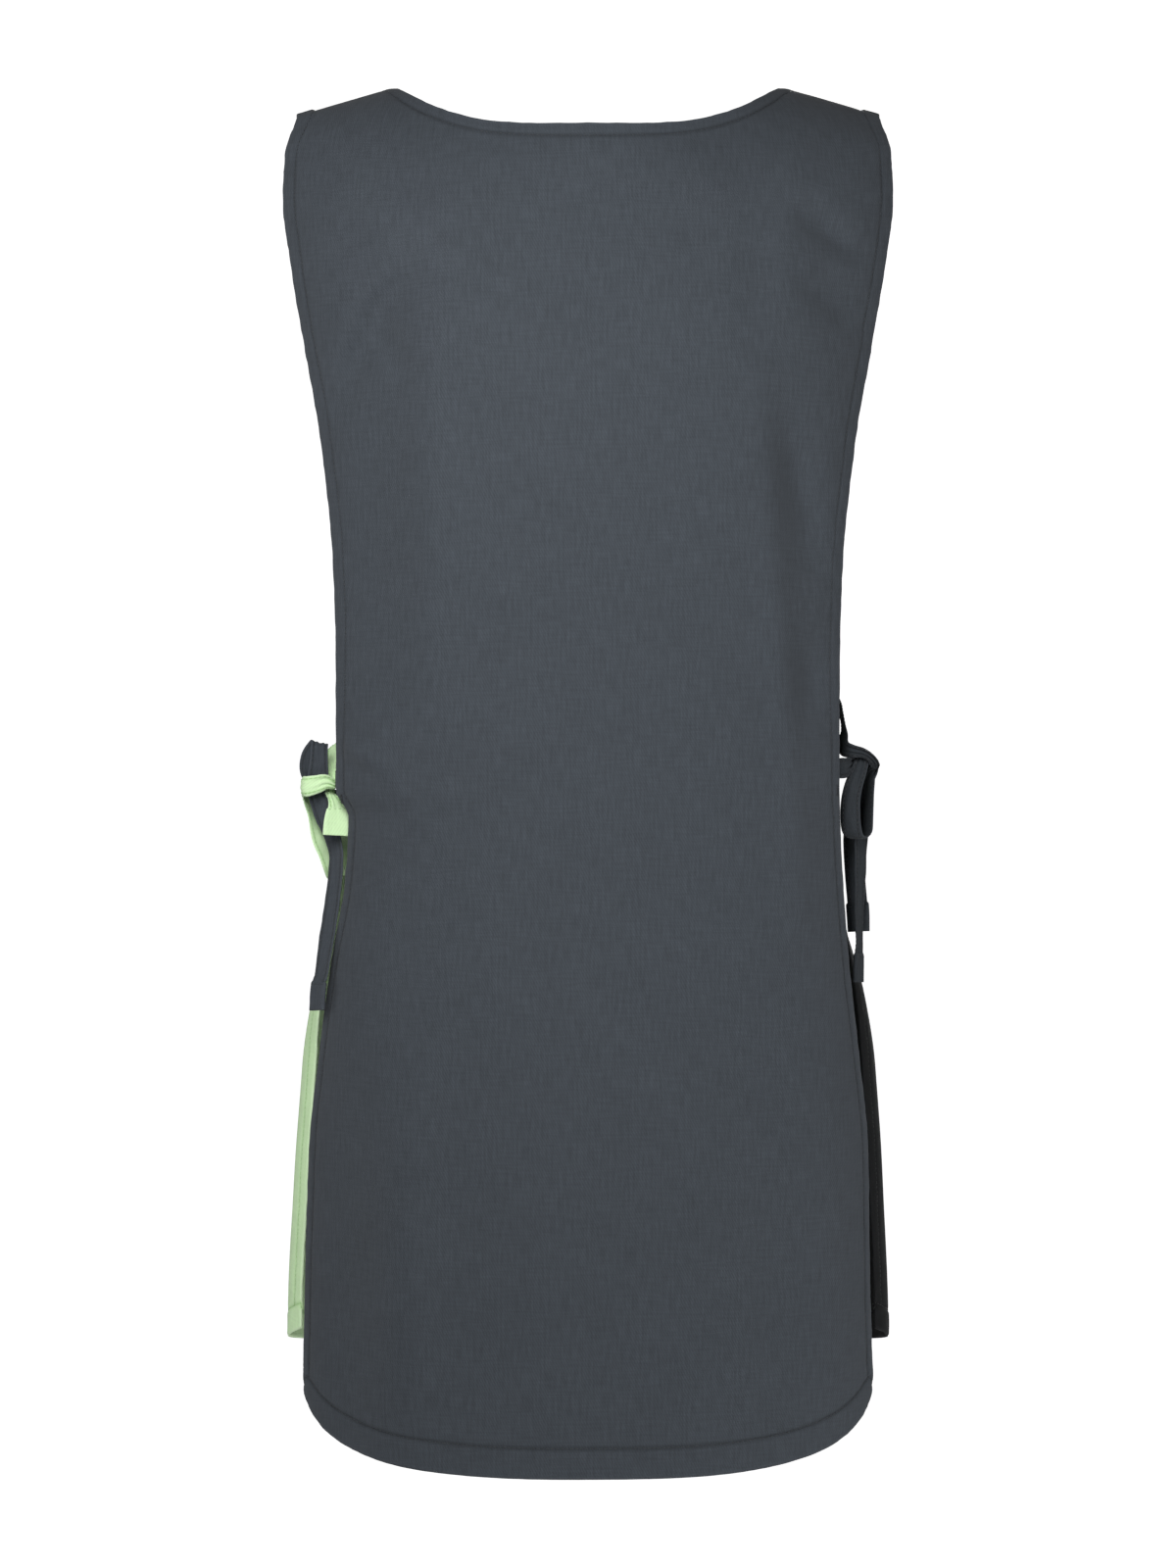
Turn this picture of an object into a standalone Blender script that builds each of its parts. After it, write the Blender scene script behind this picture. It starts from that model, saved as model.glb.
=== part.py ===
"""Cobbler apron in the shape it takes when worn: back panel, two-colour front, four waist ties in bows.

The tables are in millimetres and the scene is in metres. +X is the apron's right as it is worn, +Y
its front, +Z up. The origin lies midway between the two shoulder seams, at the height of their inner
ends.
"""

from bisect import bisect_right
from collections import namedtuple
from math import asin, ceil, copysign, cos, exp, pi, radians, sin, sqrt

import bmesh
import bpy
from mathutils import Vector

COLLECTION = "cobbler_apron"
MM = 0.001

# Cloth
WALL = 1.2              # twill with its turned edges
TIE_WIDTH = 12.5
TIE_WALL = 1.3
TIE_END_WALL = 2.5      # the last of a tie is folded back on itself
TIE_END_LENGTH = 18.0
TIE_FOLD_STEP = 1.0     # the run over which the wall steps up to the fold
GAP = 0.3               # between pieces that touch
SEAM_GAP = 1.1          # at the shoulder, where the walls lean towards each other
LAP = 9.0               # how far a tie's sewn end reaches in under the panel's edge
LAP_GAP = 0.6           # under a curved edge, between its flat facets and the tie

# Neck and shoulders
NECK_HALF = 120.5       # where the neckline meets the shoulder seam
SEAM_OUTER = 180.5      # the shoulder seam's outer end
SEAM_TOP = 1.2
SEAM_SLOPE = 0.3
CORNER_ROUND = 4.0      # how softly the neckline runs into the shoulder seam
SEAM_FORWARD = 8.0      # the seam lies a little forward of the shoulder's crest
SEAM_SKEW = 0.05
SHOULDER_ROUND = 90.0   # most height over which the shoulder turns from level to upright
ROUND_SHARE = 1.1       # of the depth that it turns through, where that is less
ROUND_LEAST = 16.0
NECK_FADE = 280.0       # how far down the neckline still bends the cloth's level lines

# Hem
HEM_FADE = 170.0

FLATTEN = 0.85          # below 1, a section is flatter at its middle than an ellipse
TOP_WRAP = 62.0         # how far both panels turn round at the shoulder, in degrees
FOLD_END = 0.06         # share of a fold's run at which its fading ends stop shrinking

COLUMNS_TO_SEAM = 8
COLUMN_CROWD = 1.9      # above 1, columns stand closer beside the seam's inner end
COLUMNS_ON_SEAM = 6
ROUND_ANGLES = (0, 15, 30, 45, 60, 75)     # rows round the shoulder, in degrees from its crest
ROW_PITCH = 22.0
TIE_STEP = 4.0          # along a tie, between its cross-sections
TIE_MIN_STEPS = 3
EDGE_SPAN = 0.12        # share of the half width over which a panel's run to its edge is measured
EDGE_STEP = 0.02        # and for its direction at the edge
NORMAL_STEP = 0.01      # share of the half width, either side of where a panel's normal is taken
NORMAL_DROP = 4.0       # and the same down the cloth
ROOT_DEPTH = 1.0        # how far inside the edge a tie's direction is read
ROOT_REACHES = (-LAP, -LAP / 2, -ROOT_DEPTH, 3.5)   # its first bends, in or out from the edge

# One row for each level of the side edge: where the two edges stand, the middle and edge depths, and
# how far the section turns round, in degrees.
Section = namedtuple("Section", "level left right middle_y edge_y wrap")

BACK_SECTIONS = (
    Section(-15.6, 180.5, 180.5, -74, -8, TOP_WRAP),
    Section(-40, 186.8, 186.8, -78, -15, 62),
    Section(-70, 188.0, 188.0, -85, -22, 62),
    Section(-110, 183.1, 183.1, -94, -28, 64),
    Section(-160, 174.7, 174.7, -100, -33, 66),
    Section(-220, 164.1, 164.1, -100, -37, 68),
    Section(-290, 156.7, 156.7, -95, -38, 70),
    Section(-360, 154.6, 154.6, -89.5, -36, 71),
    Section(-434, 154.6, 154.3, -89.0, -35, 72),    # the left tie draws the edge out, down to here
    Section(-450, 147.4, 154.8, -89.8, -34, 72),
    Section(-490, 149.6, 156.8, -94.0, -32, 72),
    Section(-540, 157.8, 160.2, -105, -31, 72),
    Section(-590, 164.7, 165.6, -110, -30, 72),
    Section(-650, 171.0, 172.0, -113, -28, 71),
    Section(-720, 173.8, 173.2, -113, -26, 70),
    Section(-797, 175.4, 175.2, -112, -25, 70),
)

FRONT_SECTIONS = (
    Section(-15.6, 180.5, 180.5, 66, 18, TOP_WRAP),
    Section(-40, 176.0, 176.0, 72, 22, 62),
    Section(-70, 171.5, 171.5, 79, 26, 64),
    Section(-110, 166.0, 166.0, 88, 29, 66),
    Section(-160, 159.5, 159.5, 99, 31, 70),
    Section(-220, 153.0, 153.0, 110, 33, 74),
    Section(-290, 148.0, 148.0, 113, 34, 78),
    Section(-360, 145.0, 145.0, 102, 33, 82),
    Section(-420, 147.0, 147.0, 95, 30, 86),
    Section(-500, 156.0, 156.0, 98, 20, 94),
    Section(-560, 166.3, 166.8, 103, 12, 106),
    Section(-608, 169.7, 170.8, 106, 10, 110),
    Section(-680, 175.0, 175.4, 109, 10, 110),
    Section(-754, 178.2, 178.4, 111, 10, 110),
)

# What differs between the panels: the neckline's depth and how sharply it turns up at its ends, the hem's
# lowest level, its rise at the side, how late it rises and how round it is there, the way that the
# panel faces, and rows of points that it needs.
Panel = namedtuple(
    "Panel",
    "sections neck_drop neck_power hem_drop hem_rise hem_power hem_round outward folds kept_levels",
)

# One row for each large fold: a line down the cloth, how wide it is and how far it stands out, with
# hollows below nought.
Fold = namedtuple("Fold", "x0 z0 x1 z1 width height")

BACK_FOLDS = (
    Fold(-104, -116, -146, -192, 13, -4.5),     # drag from the left shoulder to the armhole
    Fold(-96, -95, -101, -370, 18, 3.5),        # long ridge below the left shoulder
    Fold(-126, -178, -131, -360, 18, -4.5),     # hollow beside it
    Fold(120, -76, 160, -106, 11, -4.0),        # drags at the right armhole
    Fold(138, -110, 168, -146, 11, -4.0),
    Fold(103, -182, 129, -505, 11, 5.0),        # sharp ridge from the right shoulder to the hip
    Fold(126, -206, 132, -310, 13, -5.0),       # hollow outside it
    Fold(137, -345, 138, -390, 13, -4.0),
    Fold(-152, -402, -118, -426, 9, 3.5),       # pull of the left tie
    Fold(-108, -590, -116, -850, 24, 4.5),      # drape at the left hip
    Fold(-147, -620, -146, -850, 20, -4.5),
    Fold(104, -560, 112, -850, 24, -3.5),       # drape at the right hip
    Fold(150, -620, 150, -850, 18, 3.5),
    Fold(10, -480, -26, -850, 34, 2.5),
)

FRONT_FOLDS = (
    Fold(-146, -388, -84, -330, 15, 4.0),       # pull of the left tie
    Fold(146, -366, 84, -318, 15, 4.0),         # pull of the right tie
    Fold(-62, -330, -84, -800, 30, 5.0),        # drape below the chest
    Fold(62, -330, 84, -800, 30, 5.0),
    Fold(-118, -420, -132, -800, 22, -4.5),
    Fold(118, -420, 132, -800, 22, -4.5),
    Fold(0, -400, 0, -800, 24, -3.0),
)

BACK = Panel(BACK_SECTIONS, 28.5, 3.73, 847.0, 46.6, 2.5, 1.5, -1, BACK_FOLDS, (-434, -442, -450))
FRONT = Panel(FRONT_SECTIONS, 110.0, 2.2, 782.0, 14.0, 3.8, 1.0, 1, FRONT_FOLDS, ())

# One row for each bend of a tie: where its middle is, and the way its width lies.
Bend = namedtuple("Bend", "x y z wide_x wide_y wide_z")

BACK_LEFT_ROUTE = (
    Bend(-153.2, -24.0, -428.8, 0.0, -0.1, 1.0),
    Bend(-152.0, -10.0, -433.4, 0.0, -0.2, 1.0),
    Bend(-155.2, 0.6, -436.6, 0.0, 0.0, 1.0),
    Bend(-161.0, 3.0, -437.0, 0.25, 0.0, 1.0),      # round behind the knot
    Bend(-166.2, 1.2, -433.8, 0.7, 0.0, 0.7),
    Bend(-168.0, -2.2, -427.0, 1.0, 0.0, 0.15),
    Bend(-168.3, -7.5, -416.0, 1.0, 0.0, 0.0),      # up into the small loop
    Bend(-168.8, -10.5, -408.0, 1.0, 0.0, -0.1),
    Bend(-169.0, -14.5, -404.8, 1.0, 0.1, -0.1),
    Bend(-168.8, -18.0, -408.5, 1.0, 0.1, -0.1),
    Bend(-168.5, -18.6, -418.0, 1.0, 0.0, 0.0),
    Bend(-168.6, -18.0, -431.0, 1.0, 0.0, 0.0),     # through the knot
    Bend(-168.4, -16.2, -441.0, 1.0, 0.0, 0.1),
    Bend(-166.8, -15.2, -449.5, 0.9, -0.3, 0.25),   # the long end, behind the short one
    Bend(-161.4, -15.8, -457.5, 0.8, -0.5, 0.3),
    Bend(-157.6, -15.8, -465.0, 0.75, -0.6, 0.25),
    Bend(-155.4, -17.5, -474.0, 0.7, -0.7, 0.0),
    Bend(-155.6, -21.5, -488.0, 0.72, -0.7, -0.05),
    Bend(-157.2, -26.0, -503.0, 0.74, -0.68, -0.1),
    Bend(-160.2, -32.5, -526.0, 0.74, -0.68, -0.1),
    Bend(-163.2, -38.0, -548.0, 0.68, -0.74, 0.0),
    Bend(-165.0, -40.5, -568.5, 0.68, -0.74, 0.0),
)

FRONT_LEFT_ROUTE = (
    Bend(-151.4, 19.5, -398.0, 0.0, -0.2, 1.0),
    Bend(-156.2, 8.0, -405.5, 0.0, -0.4, 0.9),
    Bend(-158.8, -1.5, -414.5, 0.0, -0.55, 0.85),
    Bend(-156.6, -9.0, -423.0, 0.0, -0.5, 0.85),    # knot: inner side, back, outer side
    Bend(-155.0, -17.0, -429.0, 0.0, -0.2, 1.0),
    Bend(-157.4, -23.0, -431.0, 0.1, 0.0, 1.0),
    Bend(-164.5, -24.6, -431.2, 0.0, 0.0, 1.0),
    Bend(-172.8, -23.2, -431.2, 0.0, 0.0, 1.0),
    Bend(-176.2, -18.0, -431.2, 0.0, 0.0, 1.0),
    Bend(-175.8, -10.5, -432.2, 0.0, 0.15, 1.0),
    Bend(-175.6, -4.6, -437.0, 0.0, 0.7, 0.7),
    Bend(-174.8, -3.0, -443.5, 0.05, 1.0, 0.05),    # outer strand of the big loop
    Bend(-172.0, -4.0, -453.5, 0.4, 0.9, 0.0),
    Bend(-167.0, -5.5, -464.5, 0.8, 0.6, 0.1),
    Bend(-162.4, -6.0, -475.5, 0.85, 0.5, 0.1),
    Bend(-158.4, -5.0, -485.0, 0.9, 0.3, 0.1),
    Bend(-155.0, 0.0, -490.8, 0.95, 0.1, 0.2),      # turn at the bottom
    Bend(-152.4, 5.0, -484.5, 0.95, 0.1, 0.25),
    Bend(-151.4, 5.5, -471.0, 0.95, 0.2, 0.2),
    Bend(-153.2, -1.5, -459.0, 0.8, 0.6, 0.0),
    Bend(-155.2, -7.0, -449.0, 0.1, 1.0, 0.0),
    Bend(-157.9, -12.4, -437.0, 0.0, 1.0, 0.0),     # back up into the knot
    Bend(-157.9, -12.4, -431.2, 0.0, 1.0, 0.0),
    Bend(-159.4, -12.4, -429.4, 0.0, 1.0, 0.0),
    Bend(-161.0, -12.4, -431.2, 0.0, 1.0, 0.0),
    Bend(-160.9, -13.2, -437.0, 0.0, 1.0, 0.0),
    Bend(-160.4, -20.0, -445.5, 0.15, 0.98, 0.1),   # short end
    Bend(-156.4, -26.0, -453.5, 0.95, 0.3, 0.0),
    Bend(-155.6, -28.0, -462.5, 1.0, 0.1, 0.0),
)

BACK_RIGHT_ROUTE = (
    Bend(158.2, -26.5, -420.0, 0.0, 0.0, 1.0),
    Bend(160.4, -18.0, -419.0, 0.0, 0.0, 1.0),
    Bend(161.6, -8.0, -419.4, 0.0, 0.1, 1.0),
    Bend(162.4, 0.0, -422.6, 0.0, 0.5, 0.85),       # turned down behind the knot
    Bend(162.6, 3.8, -430.5, 0.0, 1.0, 0.3),
    Bend(162.4, 4.6, -441.0, 0.15, 1.0, 0.0),
    Bend(161.8, 4.4, -454.0, 0.7, 0.7, 0.0),
    Bend(162.0, 4.0, -470.0, 0.95, 0.2, 0.1),
    Bend(165.4, 3.6, -488.0, 0.95, 0.1, 0.2),
    Bend(169.8, 3.0, -505.0, 0.9, 0.2, 0.2),
    Bend(172.6, 2.4, -522.0, 0.75, 0.6, 0.1),
)

FRONT_RIGHT_ROUTE = (
    Bend(151.0, 19.5, -376.5, 0.0, -0.2, 1.0),
    Bend(155.6, 8.0, -383.0, 0.0, -0.4, 0.9),
    Bend(159.2, -3.5, -393.0, -0.1, -0.7, 0.7),
    Bend(161.8, -12.5, -403.5, -0.1, -0.95, 0.2),
    Bend(167.2, -15.6, -408.6, 0.0, -0.95, -0.28),  # over the top of the knot
    Bend(173.4, -15.6, -410.6, 0.0, -0.95, -0.28),
    Bend(178.2, -14.8, -415.4, 0.0, -1.0, -0.1),
    Bend(179.2, -13.6, -423.0, 0.0, -1.0, 0.0),     # far strand of the loop
    Bend(178.4, -12.6, -434.0, -0.15, -0.98, 0.0),
    Bend(177.2, -12.4, -448.0, -0.4, -0.9, 0.0),
    Bend(173.8, -13.2, -459.5, -0.8, -0.5, 0.2),
    Bend(168.4, -17.0, -465.6, -0.95, 0.0, 0.2),    # turn at the bottom
    Bend(164.0, -22.0, -461.5, -1.0, 0.1, 0.1),
    Bend(162.6, -24.0, -450.0, -1.0, 0.1, 0.0),
    Bend(162.8, -24.4, -440.0, -1.0, 0.1, 0.0),
    Bend(165.0, -23.8, -431.0, -1.0, 0.1, -0.1),
    Bend(169.0, -22.2, -424.5, -1.0, 0.0, -0.15),
    Bend(170.4, -19.8, -419.4, -1.0, 0.0, 0.0),     # under the band
    Bend(170.3, -14.2, -416.6, -1.0, 0.0, 0.0),
    Bend(170.2, -8.8, -420.0, -1.0, 0.0, 0.0),
    Bend(169.2, -5.6, -432.0, -1.0, 0.0, 0.0),      # long end
    Bend(168.8, -4.8, -449.0, -1.0, 0.0, 0.0),
    Bend(168.8, -5.6, -466.5, -1.0, 0.1, 0.0),
    Bend(168.2, -7.0, -489.0, -0.85, 0.5, 0.0),
    Bend(167.6, -8.0, -508.0, -0.75, 0.65, 0.0),
    Bend(167.6, -8.6, -524.0, -0.6, 0.8, 0.0),
    Bend(167.4, -9.0, -536.0, -0.6, 0.8, 0.0),
    Bend(167.0, -9.4, -552.5, -0.7, 0.7, 0.0),
)

# Where a tie's sewn end sits: the panel, the side of it and the level of the tie's middle.
Root = namedtuple("Root", "panel side level")

BACK_LEFT_ROOT = Root(BACK, -1, -427.0)
FRONT_LEFT_ROOT = Root(FRONT, -1, -394.5)
BACK_RIGHT_ROOT = Root(BACK, 1, -420.5)
FRONT_RIGHT_ROOT = Root(FRONT, 1, -373.0)


def clamp(value, low=0.0, high=1.0):
    return max(low, min(high, value))


def table_row(table, level):
    """The table's row at a level, eased between its rows with no overshoot."""
    falling = [-row.level for row in table]
    index = min(max(bisect_right(falling, -level) - 1, 0), len(table) - 2)
    span = falling[index + 1] - falling[index]
    share = clamp((-level - falling[index]) / span)

    def slope(near, column):
        if near in (0, len(table) - 1):
            return 0.0
        before = (table[near][column] - table[near - 1][column]) / (falling[near] - falling[near - 1])
        after = (table[near + 1][column] - table[near][column]) / (falling[near + 1] - falling[near])
        if before * after <= 0:
            return 0.0
        return 2 * before * after / (before + after)

    values = [level]
    for column in range(1, len(Section._fields)):
        start, end = table[index][column], table[index + 1][column]
        first, last = slope(index, column) * span, slope(index + 1, column) * span
        values.append(
            (2 * share**3 - 3 * share**2 + 1) * start + (share**3 - 2 * share**2 + share) * first
            + (3 * share**2 - 2 * share**3) * end + (share**3 - share**2) * last
        )
    return Section(*values)


def past_corner(x):
    """How far a place lies outside the neckline's corner, eased round it; below nought inside."""
    beyond = abs(x) - NECK_HALF
    return copysign(sqrt(beyond**2 + CORNER_ROUND**2) - CORNER_ROUND, beyond)


def seam_height(x):
    return SEAM_TOP - SEAM_SLOPE * past_corner(x)


def seam_depth(x):
    return SEAM_FORWARD - SEAM_SKEW * (abs(x) - NECK_HALF)


def top_edge(panel, x):
    """Height of the panel's top edge: the neckline, then the shoulder seam."""
    if abs(x) >= NECK_HALF:
        return seam_height(x)
    turned_up = (1 + past_corner(x) / NECK_HALF) ** panel.neck_power
    return SEAM_TOP - (panel.neck_drop + SEAM_TOP) * (1 - turned_up)


def hem_lift(panel, across):
    """How far the hem stands above its lowest point, for a share of the half width."""
    left = max(0.0, 1 - abs(across) ** panel.hem_power)
    return panel.hem_rise * (1 - left ** (1 / panel.hem_round))


def fold_relief(folds, x, z):
    """How far the folds push the cloth out at a place."""
    relief = 0.0
    for fold in folds:
        run = Vector((fold.x1 - fold.x0, fold.z1 - fold.z0))
        reach = Vector((x - fold.x0, z - fold.z0))
        along = clamp(reach.dot(run) / run.length_squared)
        off = (reach - run * along).length
        fading = sqrt(sin(pi * clamp(along, FOLD_END, 1 - FOLD_END)))
        relief += fold.height * exp(-((off / fold.width) ** 2)) * fading
    return relief


def section_across(share, wrap):
    """Sideways place on a section, as a share of its edge, and how much of the depth is used up."""
    turn, whole = radians(wrap) * abs(share), radians(wrap)
    sideways = (sin(turn) / sin(whole)) ** FLATTEN
    return sideways, (1 - cos(turn)) / (1 - cos(whole))


def panel_point(panel, share, level):
    """A point of the panel's outer face: share is -1 at the left edge and 1 at the right."""
    row = table_row(panel.sections, level)
    top, end = panel.sections[0], panel.sections[-1]
    sideways, used = section_across(share, row.wrap)
    top_x = section_across(share, top.wrap)[0] * SEAM_OUTER
    x = sideways * (row.right if share > 0 else -row.left)

    neck = (1 - clamp((top.level - level) / NECK_FADE) ** 2) ** 2
    hem = clamp((end.level + HEM_FADE - level) / HEM_FADE) ** 2
    z = level + (top_edge(panel, top_x) - top.level) * neck
    z += (hem_lift(panel, share) - panel.hem_drop - end.level) * hem

    y = row.middle_y + (row.edge_y - row.middle_y) * used
    y += panel.outward * fold_relief(panel.folds, x, z)
    reach = y - seam_depth(x)
    drop = clamp((seam_height(x) - z) / clamp(ROUND_SHARE * abs(reach), ROUND_LEAST, SHOULDER_ROUND))
    y = seam_depth(x) + reach * sqrt(1 - (1 - drop) ** 2)
    return Vector((x, y, z))


def panel_normal(panel, share, level):
    """The panel's outward normal at a place away from its edges."""
    across = panel_point(panel, share + NORMAL_STEP, level) - panel_point(panel, share - NORMAL_STEP, level)
    down = panel_point(panel, share, level - NORMAL_DROP) - panel_point(panel, share, level + NORMAL_DROP)
    normal = across.cross(down).normalized()
    return normal if normal.y * panel.outward > 0 else -normal


def column_shares():
    """Places across half a panel, from its middle to its edge, closer together beside the seam."""
    turned = (NECK_HALF / SEAM_OUTER) ** (1 / FLATTEN) * sin(radians(TOP_WRAP))
    corner = asin(turned) / radians(TOP_WRAP)       # where the top row reaches the neck's corner
    inner = [corner * (1 - (1 - i / COLUMNS_TO_SEAM) ** COLUMN_CROWD) for i in range(COLUMNS_TO_SEAM)]
    outer = [corner + (1 - corner) * i / COLUMNS_ON_SEAM for i in range(COLUMNS_ON_SEAM + 1)]
    return inner + outer


def row_levels(panel):
    """Levels from shoulder to hem: close together where the shoulder turns over, then even."""
    top, end = panel.sections[0].level, panel.sections[-1].level
    turned = [top - SHOULDER_ROUND * (1 - cos(radians(angle))) for angle in ROUND_ANGLES]
    start = top - SHOULDER_ROUND
    count = ceil((start - end) / ROW_PITCH)
    even = [start + (end - start) * i / count for i in range(count + 1)]
    clear = [level for level in even if all(abs(level - kept) > ROW_PITCH / 3 for kept in panel.kept_levels)]
    return turned + sorted(clear + list(panel.kept_levels), reverse=True)


def make_material(name, colour, roughness):
    material = bpy.data.materials.new(name)
    material.use_nodes = True
    shader = material.node_tree.nodes["Principled BSDF"]
    shader.inputs["Base Color"].default_value = (*colour, 1.0)
    shader.inputs["Roughness"].default_value = roughness
    material.diffuse_color = (*colour, 1.0)
    return material


def make_cloth(name, rows, material, wall, offset, weights=None):
    """A closed cloth wall on a grid of points in millimetres, given row by row."""
    mesh = bmesh.new()
    grid = [[mesh.verts.new(point * MM) for point in row] for row in rows]
    for upper, lower in zip(grid, grid[1:]):
        for i in range(len(upper) - 1):
            mesh.faces.new((upper[i], lower[i], lower[i + 1], upper[i + 1]))
    data = bpy.data.meshes.new(name)
    mesh.to_mesh(data)
    mesh.free()
    data.shade_smooth()
    data.materials.append(material)

    cloth = bpy.data.objects.new(name, data)
    bpy.data.collections[COLLECTION].objects.link(cloth)
    solidify = cloth.modifiers.new("wall", "SOLIDIFY")
    solidify.thickness = wall * MM
    solidify.offset = offset
    if weights:
        group = cloth.vertex_groups.new(name="wall")
        for index, weight in enumerate(weights):
            group.add([index], weight, "REPLACE")
        solidify.vertex_group = group.name
    return cloth


def make_panel(name, panel, shares, material):
    """The cloth between the given shares, with half a gap left at the shoulder seam."""
    rows = []
    for level in row_levels(panel):
        row = [panel_point(panel, share, level) for share in shares]
        if not rows:
            row = [point + Vector((0, panel.outward * SEAM_GAP / 2, 0)) for point in row]
        if shares[0] == 0 or shares[-1] == 0:
            middle = 0 if shares[0] == 0 else -1
            row[middle].x = GAP / 2 if middle == 0 else -GAP / 2
        rows.append(row)
    return make_cloth(name, rows, material, WALL, panel.outward)


def tie_root(root):
    """The tie's first bends, flat against the inside of the panel and out past its edge."""
    panel, side, level = root
    edge = panel_point(panel, side, level)
    share_per_mm = EDGE_SPAN / (edge - panel_point(panel, side * (1 - EDGE_SPAN), level)).length
    onward = (edge - panel_point(panel, side * (1 - EDGE_STEP), level)).normalized()
    bends = []
    for reach in ROOT_REACHES:
        share = side * (1 + min(reach, -ROOT_DEPTH) * share_per_mm)
        normal = panel_normal(panel, share - side * NORMAL_STEP, level)
        place = panel_point(panel, share, level) - normal * (WALL + LAP_GAP + TIE_WALL / 2)
        if reach > 0:
            place += onward * (reach + ROOT_DEPTH)
        above, below = (panel_point(panel, share, level + step) for step in (NORMAL_DROP, -NORMAL_DROP))
        bends.append(Bend(*place, *(above - below).normalized()))
    return bends


def smooth_route(bends):
    """Places and width directions along a smooth curve through the bends."""
    places = [Vector(bend[:3]) for bend in bends]
    widths = [Vector(bend[3:]) for bend in bends]

    def between(values, index, share):
        before, start = values[max(index - 1, 0)], values[index]
        end, after = values[index + 1], values[min(index + 2, len(values) - 1)]
        return 0.5 * (
            2 * start + (end - before) * share
            + (2 * before - 5 * start + 4 * end - after) * share**2
            + (3 * start - before - 3 * end + after) * share**3
        )

    samples = []
    for index in range(len(places) - 1):
        length = (places[index + 1] - places[index]).length
        steps = max(TIE_MIN_STEPS, ceil(length / TIE_STEP))
        for step in range(steps):
            share = step / steps
            samples.append((between(places, index, share), between(widths, index, share)))
    samples.append((places[-1], widths[-1]))
    return samples


def make_tie(name, root, route, material):
    """A flat tie along its route, with its last stretch twice as thick."""
    samples = smooth_route(tie_root(root) + list(route))
    rows, weights = [], []
    to_end = 0.0
    for index in reversed(range(len(samples))):
        place, width = samples[index]
        after = samples[min(index + 1, len(samples) - 1)][0]
        ahead = (after - samples[max(index - 1, 0)][0]).normalized()
        across = (width - ahead * width.dot(ahead)).normalized() * TIE_WIDTH / 2
        rows.append([place + across, place - across])
        to_end += (after - place).length
        folded = clamp((TIE_END_LENGTH - to_end) / TIE_FOLD_STEP + 1)
        weights += [TIE_WALL / TIE_END_WALL + (1 - TIE_WALL / TIE_END_WALL) * folded] * 2
    return make_cloth(name, rows, material, TIE_END_WALL, 0.0, weights)


def build():
    for old in list(bpy.data.objects):
        bpy.data.objects.remove(old, do_unlink=True)
    bpy.context.scene.collection.children.link(bpy.data.collections.new(COLLECTION))

    slate = make_material("slate_twill", (0.068, 0.078, 0.090), 0.92)
    dark = make_material("dark_twill", (0.024, 0.026, 0.030), 0.92)
    green = make_material("green_twill", (0.36, 0.52, 0.26), 0.88)

    half = column_shares()
    mirrored = [-share for share in reversed(half)]
    make_panel("back_panel", BACK, mirrored[:-1] + half, slate)
    make_panel("front_panel_dark", FRONT, half, dark)
    make_panel("front_panel_green", FRONT, mirrored, green)
    make_tie("tie_back_left", BACK_LEFT_ROOT, BACK_LEFT_ROUTE, slate)
    make_tie("tie_front_left", FRONT_LEFT_ROOT, FRONT_LEFT_ROUTE, green)
    make_tie("tie_back_right", BACK_RIGHT_ROOT, BACK_RIGHT_ROUTE, slate)
    make_tie("tie_front_right", FRONT_RIGHT_ROOT, FRONT_RIGHT_ROUTE, slate)


build()
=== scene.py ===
from collections import namedtuple
from math import asin, cos, pi, radians, sin

import bpy
import numpy as np
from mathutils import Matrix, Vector, noise
from mathutils.bvhtree import BVHTree
from mathutils.kdtree import KDTree


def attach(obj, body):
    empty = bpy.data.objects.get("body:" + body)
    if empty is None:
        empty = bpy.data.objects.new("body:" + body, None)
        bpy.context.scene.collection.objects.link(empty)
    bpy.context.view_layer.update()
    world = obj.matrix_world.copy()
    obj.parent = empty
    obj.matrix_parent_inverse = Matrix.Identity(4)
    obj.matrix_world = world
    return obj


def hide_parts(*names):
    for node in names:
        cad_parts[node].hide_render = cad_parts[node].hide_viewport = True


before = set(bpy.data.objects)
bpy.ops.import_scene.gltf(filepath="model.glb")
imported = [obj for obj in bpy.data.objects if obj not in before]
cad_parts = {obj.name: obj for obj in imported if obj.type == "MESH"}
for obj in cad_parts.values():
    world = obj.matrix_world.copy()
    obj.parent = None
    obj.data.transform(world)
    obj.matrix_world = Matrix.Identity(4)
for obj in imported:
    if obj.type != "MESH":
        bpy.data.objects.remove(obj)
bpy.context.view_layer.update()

mm = 0.001               # the tables are in millimetres, the scene in metres


# The studio: a white paper sweep, soft boxes that the camera doesn't see, and a faint sky

studio = {
    "cameraPlace": (0.0, -3.44, -0.430),
    "frameHeight": 0.96,         # how much of the back panel's plane the picture takes in
    "framePlane": -0.04,
    "sensor": 36.0,
    "floor": -1.15,
    "sweepRadius": 1.4,
    "sweepBack": 5.4,            # past where a camera stands that looks at the apron's front
    "sweepHalfWidth": 7.0,
    "sweepFront": -7.0,
    "sweepRise": 6.0,
    "sweepSteps": 16,
    "paper": "#F4F4F4",
    "seenWhite": 1.0,            # strength of paper and sky in the picture
    "paperGlow": 0.07,           # strength of each as it lights the cloth
    "sky": 0.0127,
}


def hexColour(code, alpha=1.0):
    # an sRGB hex colour as linear light
    parts = [int(code[i:i + 2], 16) / 255 for i in (1, 3, 5)]
    return tuple(c / 12.92 if c <= 0.04045 else ((c + 0.055) / 1.055) ** 2.4 for c in parts) + (alpha,)


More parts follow.
